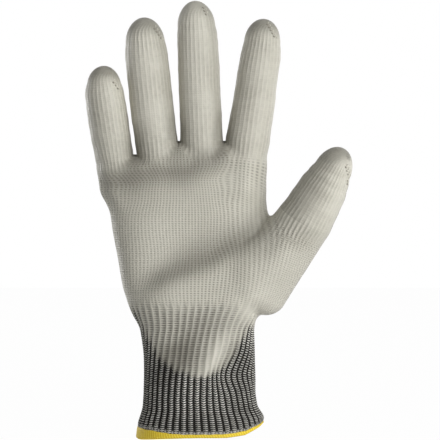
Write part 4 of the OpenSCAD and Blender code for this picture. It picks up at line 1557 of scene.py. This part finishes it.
class Nodes:
    """Short ways to build a material's nodes."""

    def __init__(self, name):
        self.material = bpy.data.materials.new(name)
        self.material.use_nodes = True
        self.tree = self.material.node_tree
        self.shader = self.tree.nodes["Principled BSDF"]

    def set(self, node, **inputs):
        for key, value in inputs.items():
            self.feed(node.inputs[key.replace("_", " ")], value)
        return node

    def feed(self, socket, value):
        if isinstance(value, bpy.types.NodeSocket):
            self.tree.links.new(value, socket)
        else:
            socket.default_value = value

    def math(self, op, a, b=None, c=None, clamp=False):
        node = self.tree.nodes.new("ShaderNodeMath")
        node.operation = op
        node.use_clamp = clamp
        for socket, value in zip(node.inputs, (a, b, c)):
            if value is not None:
                self.feed(socket, value)
        return node.outputs[0]

    def add(self, a, b):
        return self.math("ADD", a, b)

    def mul(self, a, b):
        return self.math("MULTIPLY", a, b)

    def less(self, value):
        """1 less a value."""
        return self.math("SUBTRACT", 1.0, value)

    def span(self, value, low, high, to_low=0.0, to_high=1.0, smooth=True):
        node = self.tree.nodes.new("ShaderNodeMapRange")
        node.interpolation_type = "SMOOTHSTEP" if smooth else "LINEAR"
        for socket, v in zip(node.inputs, (value, low, high, to_low, to_high)):
            self.feed(socket, v)
        return node.outputs[0]

    def wave(self, value):
        """1 at whole numbers and 0 halfway between them."""
        return self.math("MULTIPLY_ADD", self.math("COSINE", self.mul(value, 2 * math.pi)), 0.5, 0.5)

    def mix(self, share, a, b):
        """A number or colour between a and b."""
        node = self.tree.nodes.new("ShaderNodeMix")
        number = isinstance(a, (int, float)) or getattr(a, "type", None) == "VALUE"
        node.data_type = "FLOAT" if number else "RGBA"
        sockets = [n for n in node.inputs if n.enabled]
        for socket, value in zip(sockets, (share, a, b)):
            self.feed(socket, value)
        return next(o for o in node.outputs if o.enabled)

    def uv(self, name):
        node = self.tree.nodes.new("ShaderNodeUVMap")
        node.uv_map = name
        parts = self.tree.nodes.new("ShaderNodeSeparateXYZ")
        self.feed(parts.inputs[0], node.outputs[0])
        return parts.outputs[0], parts.outputs[1]

    def value(self, name):
        node = self.tree.nodes.new("ShaderNodeAttribute")
        node.attribute_name = name
        return node.outputs["Fac"]

    def noise(self, scale, detail=2.0, at=None):
        """Smooth noise in space, from 0 to 1."""
        node = self.tree.nodes.new("ShaderNodeTexNoise")
        coordinates = at or self.tree.nodes.new("ShaderNodeTexCoord").outputs["Object"]
        self.set(node, Vector=coordinates, Scale=scale, Detail=detail)
        return node.outputs["Fac"]

    def chance(self, a, b):
        """One random number for each whole pair of numbers."""
        pair = self.tree.nodes.new("ShaderNodeCombineXYZ")
        self.feed(pair.inputs[0], self.math("FLOOR", a))
        self.feed(pair.inputs[1], self.math("FLOOR", b))
        node = self.tree.nodes.new("ShaderNodeTexWhiteNoise")
        node.noise_dimensions = "2D"
        self.feed(node.inputs["Vector"], pair.outputs[0])
        return node.outputs["Value"]

    def bump(self, height, distance):
        node = self.tree.nodes.new("ShaderNodeBump")
        self.set(node, Height=height, Distance=distance)
        return node.outputs[0]

    def end(self, objs, **inputs):
        self.set(self.shader, **inputs)
        for obj in objs:
            obj.data.materials.append(self.material)


COAT_TONE = colour(212, 209, 196)
COAT_LOW = colour(150, 145, 132)
COAT_GROOVE = colour(96, 92, 84)
# painted shade for the folds, and painted light for where light falls brightly
COAT_PAINTED_SHADE = colour(84, 80, 70)
COAT_PAINTED_LIGHT = colour(232, 229, 216)
COAT_TINT = colour(186, 184, 172)
YARN_WHITE = colour(250, 248, 240)
YARN_DARK = colour(18, 16, 13)
HEM_YARN = (colour(255, 232, 84), colour(238, 202, 50), colour(247, 214, 60))
ELASTIC_YARN = (colour(22, 20, 18), colour(60, 57, 52))
# the third closing yarn colour is painted shade for the pits between the loops
CLOSING_YARN = (colour(178, 175, 163), colour(222, 219, 207), colour(140, 136, 124))


def stitches(n, u, v, slope=0.5):
    """V stitches in columns at whole u: height, distance across and a random number for each leg."""
    across = n.math("ABSOLUTE", n.math("SUBTRACT", n.math("FRACT", n.add(u, 0.5)), 0.5))
    leg = n.math("SUBTRACT", v, n.mul(across, 2 * slope))
    chance = n.chance(n.mul(n.add(u, 0.5), 2.0), leg)
    return n.wave(n.math("SUBTRACT", leg, 0.5)), across, chance


def pepper(n, u, v):
    """Plain knit of mixed pale and dark yarn: its height and how white it is."""
    form, _, chance = stitches(n, u, v, 0.6)
    return form, n.mul(n.span(form, 0.1, 0.8, 0.35, 1.0), n.span(chance, 0.25, 0.85, 0.12, 0.9))


def knit_material():
    """The glove's outside: bare yarn, coating and the uneven line where the dip ends."""
    n = Nodes("knit_and_coating")
    u, v = n.uv("knit")
    limb_u, limb_v = n.uv("limb_knit")
    # smooth carries the painted light and shade the painted shade
    coat, limb, rib, smooth, hem_edge = (n.value(k) for k in ("coat", "limb", "rib", "smooth", "hem"))
    rib_top = n.wave(u)
    bars = n.wave(v)
    # coating: open mesh on the palm, lit lines and ladder bars on the coated ribs, soft ribs on the fingers
    dots = n.mul(n.less(n.wave(n.mul(u, 2.13))), n.less(bars))
    groove = n.less(rib_top)
    ladder = n.mul(n.math("POWER", groove, 0.35), n.math("MULTIPLY_ADD", bars, -0.75, 1.0))
    # painted light also lessens the dark ladder lines
    ladder = n.mul(ladder, n.math("MULTIPLY_ADD", smooth, -0.65, 1.0))
    limb_top = n.wave(limb_u)
    patch = n.noise(60.0, 1.0)
    soft = n.mul(n.less(limb_top), n.span(patch, 0.3, 0.7, 0.2, 1.0))
    limb_dots = n.mul(n.less(n.wave(n.mul(limb_u, 2.0))), n.less(n.wave(limb_v)))
    soft = n.add(soft, n.mul(limb_dots, 0.5))
    soft = n.add(soft, n.span(n.noise(420.0, 3.0), 0.3, 0.75, -0.15, 0.35))
    palm_dark = n.mix(rib, dots, ladder)
    dark = n.mix(limb, palm_dark, n.math("MULTIPLY", soft, 0.36, clamp=True))
    dark = n.mul(dark, n.span(n.noise(900.0, 2.0), 0.3, 0.7, 0.8, 1.15))
    low = n.mix(n.mul(rib, n.less(limb)), COAT_LOW, COAT_GROOVE)
    coated = n.mix(dark, COAT_TONE, low)
    coated = n.mix(n.span(n.noise(25.0, 3.0), 0.35, 0.75, 0.0, 0.28), coated, COAT_TINT)
    # painted light, then painted shade, over the coating
    coated = n.mix(n.mul(smooth, 0.5), coated, COAT_PAINTED_LIGHT)
    coated = n.mix(n.mul(n.value("shade"), 0.46), coated, COAT_PAINTED_SHADE)
    # bare yarn: white stitches on dark ribs at the cuff, salt and pepper elsewhere
    form, across, chance = stitches(n, u, v)
    column = n.span(across, 0.37, 0.26)
    white = n.mul(n.mul(column, n.span(form, 0.42, 0.68)), n.span(chance, 0.0, 1.0, 0.65, 1.0, smooth=False))
    white = n.add(white, n.mul(n.mul(n.less(column), bars), 0.05))
    white = n.math("MAXIMUM", white, n.mul(hem_edge, n.span(n.wave(n.mul(u, 2.0)), 0.3, 0.8, 0.0, 0.8)))
    body_form, body_white = pepper(n, n.mul(u, 3.0), v)
    limb_form, limb_white = pepper(n, n.mul(limb_u, 2.0), limb_v)
    bare_white = n.mix(limb, n.mix(rib, body_white, white), limb_white)
    # painted shade darkens the bare yarn too
    bare_white = n.mul(bare_white, n.math("MULTIPLY_ADD", n.value("shade"), -0.4, 1.0))
    bare = n.mix(bare_white, YARN_DARK, YARN_WHITE)
    # where the dip ends
    edge = n.add(coat, n.math("MULTIPLY_ADD", n.noise(220.0, 3.0), 4.0, -2.0))
    edge = n.add(edge, n.mul(n.mul(rib, n.math("SUBTRACT", rib_top, 0.5)), 1.6))
    share = n.span(edge, -1.6, 3.4)
    base = n.mix(share, bare, coated)
    # fine relief
    coat_height = n.mix(limb, n.mix(rib, n.less(dots), n.less(ladder)), n.mul(n.less(soft), 0.6))
    bare_height = n.mix(limb, n.mix(rib, body_form, form), limb_form)
    height = n.mix(share, bare_height, coat_height)
    n.end(
        [hand, cuff, *COATS],
        Base_Color=base,
        Roughness=n.mix(share, 0.85, n.span(n.noise(300.0, 2.0), 0.3, 0.7, 0.42, 0.55)),
        Specular_IOR_Level=n.mix(share, 0.08, 0.35),
        Normal=n.bump(height, 0.0002),
    )


def lining_material():
    n = Nodes("lining_knit")
    u, v = n.uv("knit")
    form, _, chance = stitches(n, n.mul(u, 2.0), v, 0.6)
    white = n.mul(n.span(form, 0.1, 0.8, 0.3, 1.0), n.span(chance, 0.2, 0.9, 0.1, 0.8))
    n.end([lining, *LININGS], Base_Color=n.mix(white, YARN_DARK, YARN_WHITE), Roughness=0.9,
          Specular_IOR_Level=0.1, Normal=n.bump(form, 0.0002))


def hem_material():
    n = Nodes("hem_yarn")
    thread = n.wave(n.uv("stitch")[0])
    tone = n.mix(n.less(thread), *HEM_YARN[:2])
    tone = n.mix(n.span(n.noise(700.0, 2.0), 0.35, 0.8, 0.0, 0.45), tone, HEM_YARN[2])
    n.end([hem], Base_Color=tone, Roughness=0.6, Specular_IOR_Level=0.3,
          Normal=n.bump(n.noise(2500.0, 2.0), 0.00008))


def elastic_material():
    n = Nodes("elastic_yarn")
    tone = n.mix(n.noise(1500.0, 2.0), *ELASTIC_YARN)
    n.end([elastic], Base_Color=tone, Roughness=0.7)


def closure_material():
    n = Nodes("closing_yarn")
    light = n.mix(n.noise(1200.0, 2.0), *CLOSING_YARN[:2])
    # the dark beads get the painted shade of the pits
    tone = n.mix(n.value("dark"), light, CLOSING_YARN[2])
    n.end(CLOSURES, Base_Color=tone, Roughness=0.6, Specular_IOR_Level=0.3)


knit_material()
lining_material()
hem_material()
elastic_material()
closure_material()

# ---------------------------------------------------------------- floor, world and lamps

FLOOR_SIZE = 4000
FLOOR_GLOW = 0.98
WORLD_LIGHT = 0.14


def ray_share(tree, *kinds):
    """1 for rays of the given kinds, and 0 for others."""
    path = tree.nodes.new("ShaderNodeLightPath")
    share = path.outputs[kinds[0]]
    for kind in kinds[1:]:
        node = tree.nodes.new("ShaderNodeMath")
        node.operation = "MAXIMUM"
        tree.links.new(share, node.inputs[0])
        tree.links.new(path.outputs[kind], node.inputs[1])
        share = node.outputs[0]
    return share


def make_floor():
    half = FLOOR_SIZE / 2
    verts = [(-half, -half, 0), (half, -half, 0), (half, half, 0), (-half, half, 0)]
    floor = make_object("floor", verts, [[0, 1, 2, 3]], smooth=False)
    n = Nodes("floor_white")
    glow = n.tree.nodes.new("ShaderNodeEmission")
    blend = n.tree.nodes.new("ShaderNodeMixShader")
    n.set(glow, Color=(1.0, 1.0, 1.0, 1.0), Strength=1.0)
    n.feed(blend.inputs[0], n.mul(ray_share(n.tree, "Is Camera Ray", "Is Glossy Ray"), FLOOR_GLOW))
    n.feed(blend.inputs[1], n.shader.outputs[0])
    n.feed(blend.inputs[2], glow.outputs[0])
    n.feed(n.tree.nodes["Material Output"].inputs[0], blend.outputs[0])
    n.end([floor], Base_Color=colour(252, 252, 252), Roughness=0.9)


def make_world():
    world = bpy.data.worlds.new("world")
    bpy.context.scene.world = world
    world.use_nodes = True
    tree = world.node_tree
    plain = tree.nodes["Background"]
    white = tree.nodes.new("ShaderNodeBackground")
    blend = tree.nodes.new("ShaderNodeMixShader")
    for node, strength in ((plain, WORLD_LIGHT), (white, 1.0)):
        node.inputs["Color"].default_value = (1, 1, 1, 1)
        node.inputs["Strength"].default_value = strength
    tree.links.new(ray_share(tree, "Is Glossy Ray", "Is Transmission Ray", "Is Camera Ray"), blend.inputs[0])
    tree.links.new(plain.outputs[0], blend.inputs[1])
    tree.links.new(white.outputs[0], blend.inputs[2])
    tree.links.new(blend.outputs[0], tree.nodes["World Output"].inputs[0])


def make_lamp(name, at, size, power):
    data = bpy.data.lights.new(name, "AREA")
    data.shape = "DISK"
    data.size = size
    data.energy = power
    obj = bpy.data.objects.new(name, data)
    obj.location = at
    obj.rotation_euler = (Vector(MIDDLE) - Vector(at)).to_track_quat("-Z", "Y").to_euler()
    bpy.context.scene.collection.objects.link(obj)


# Lamps: name, place and size in metres, power in watts, all turned towards the glove's middle
MIDDLE = (0.01, 0, 0.13)
LAMPS = (
    ("key", (1.13, -1.34, 0.31), 1.6, 33.5),
    ("back_left", (-1.15, 0.95, 0.15), 0.8, 9),
    ("back_right", (1.15, 1.05, 0.15), 0.8, 3),
)
make_floor()
make_world()
for lamp in LAMPS:
    make_lamp(*lamp)

bpy.context.scene.view_settings.view_transform = "Standard"

# ---------------------------------------------------------------- what shows beside the image points

# How far about an image point its thing is looked for, in pixels, and how wide the dip's edge counts, in mm
GAP_ACROSS = 6
GAP_ABOVE = 12
GAP_BELOW = 15
EDGE_REACH = 5
DIP_REACH = 0.6


def on_image(p):
    """Image places of points in metres."""
    m = np.array(camera.matrix_world.inverted())
    q = p @ m[:3, :3].T + m[:3, 3]
    size = max(W, H)
    lens = size * camera_data.lens / camera_data.sensor_width
    return np.column_stack([W / 2 - lens * q[:, 0] / q[:, 2] - SHIFT_X * size,
                            H / 2 + lens * q[:, 1] / q[:, 2] + SHIFT_Y * size])


def world_points(objs):
    """Vertices of objects as they stand in the scene, in metres."""
    placed = [(mesh_points(obj) * MM, np.array(obj.matrix_world)) for obj in objs]
    return np.concatenate([p @ m[:3, :3].T + m[:3, 3] for p, m in placed])


def shows_at(x, y, tree):
    """Whether the camera's ray through an image place meets the glove."""
    return tree.ray_cast(*image_ray((x, y)))[0] is not None


def crotch_place(point, tree):
    """The lowest place of the gap that shows near an image point."""
    best = None
    top = point[1] - GAP_ABOVE
    for x in np.arange(point[0] - GAP_ACROSS, point[0] + GAP_ACROSS + 0.1, 0.75):
        for y in np.arange(top, point[1] + GAP_BELOW, 0.5):
            if shows_at(x, y, tree):
                break
        if not shows_at(x, top, tree) and (best is None or y > best[1]):
            best = (x, y)
    return best or point


def edge_place(points, name):
    """The outermost of the vertices that show near a named place of the outline."""
    k = 1 if name in ("glove_left", "glove_right") else 0
    near = points[np.abs(points[:, k] - POINTS[name][k]) < EDGE_REACH]
    outward = near[:, 1 - k] if name in ("glove_right", "glove_bottom") else -near[:, 1 - k]
    return near[outward.argmax()]


def thing_places():
    """Image place of each named thing as the finished scene shows it."""
    bpy.context.view_layer.update()
    shown = [hand, cuff, hem, *COATS]
    outer = on_image(world_points(shown))
    band = on_image(world_points([hem]))
    tree = tree_of(*shown)
    places = {name: edge_place(outer, name) for name in POINTS if name.startswith("glove_")}
    for limb, coat in zip(LIMBS, [o for o in COATS if "_tip_" in o.name]):
        tip = on_image(world_points([coat]))
        places[f"{limb.name}_tip"] = tip[tip[:, 1].argmin()]
    for sewn in CLOSURES:
        places[sewn.name.replace("_stitches", "")] = on_image(world_points([sewn])).mean(0)
    places["hem_left"] = band[band[:, 0].argmin()]
    places["hem_right"] = band[band[:, 0].argmax()]
    places.update({name: crotch_place(POINTS[name], tree) for name in POINTS if name.endswith("_crotch")})
    flat = mesh_points(cuff)
    front = (flat[:, 1] < 0) & (np.abs(dip_depth(flat)) < DIP_REACH)
    dip = on_image(flat[front] * MM)
    places["dip_lowest"] = dip[dip[:, 1].argmax()]
    return places


def write_points():
    places = thing_places()


write_points()
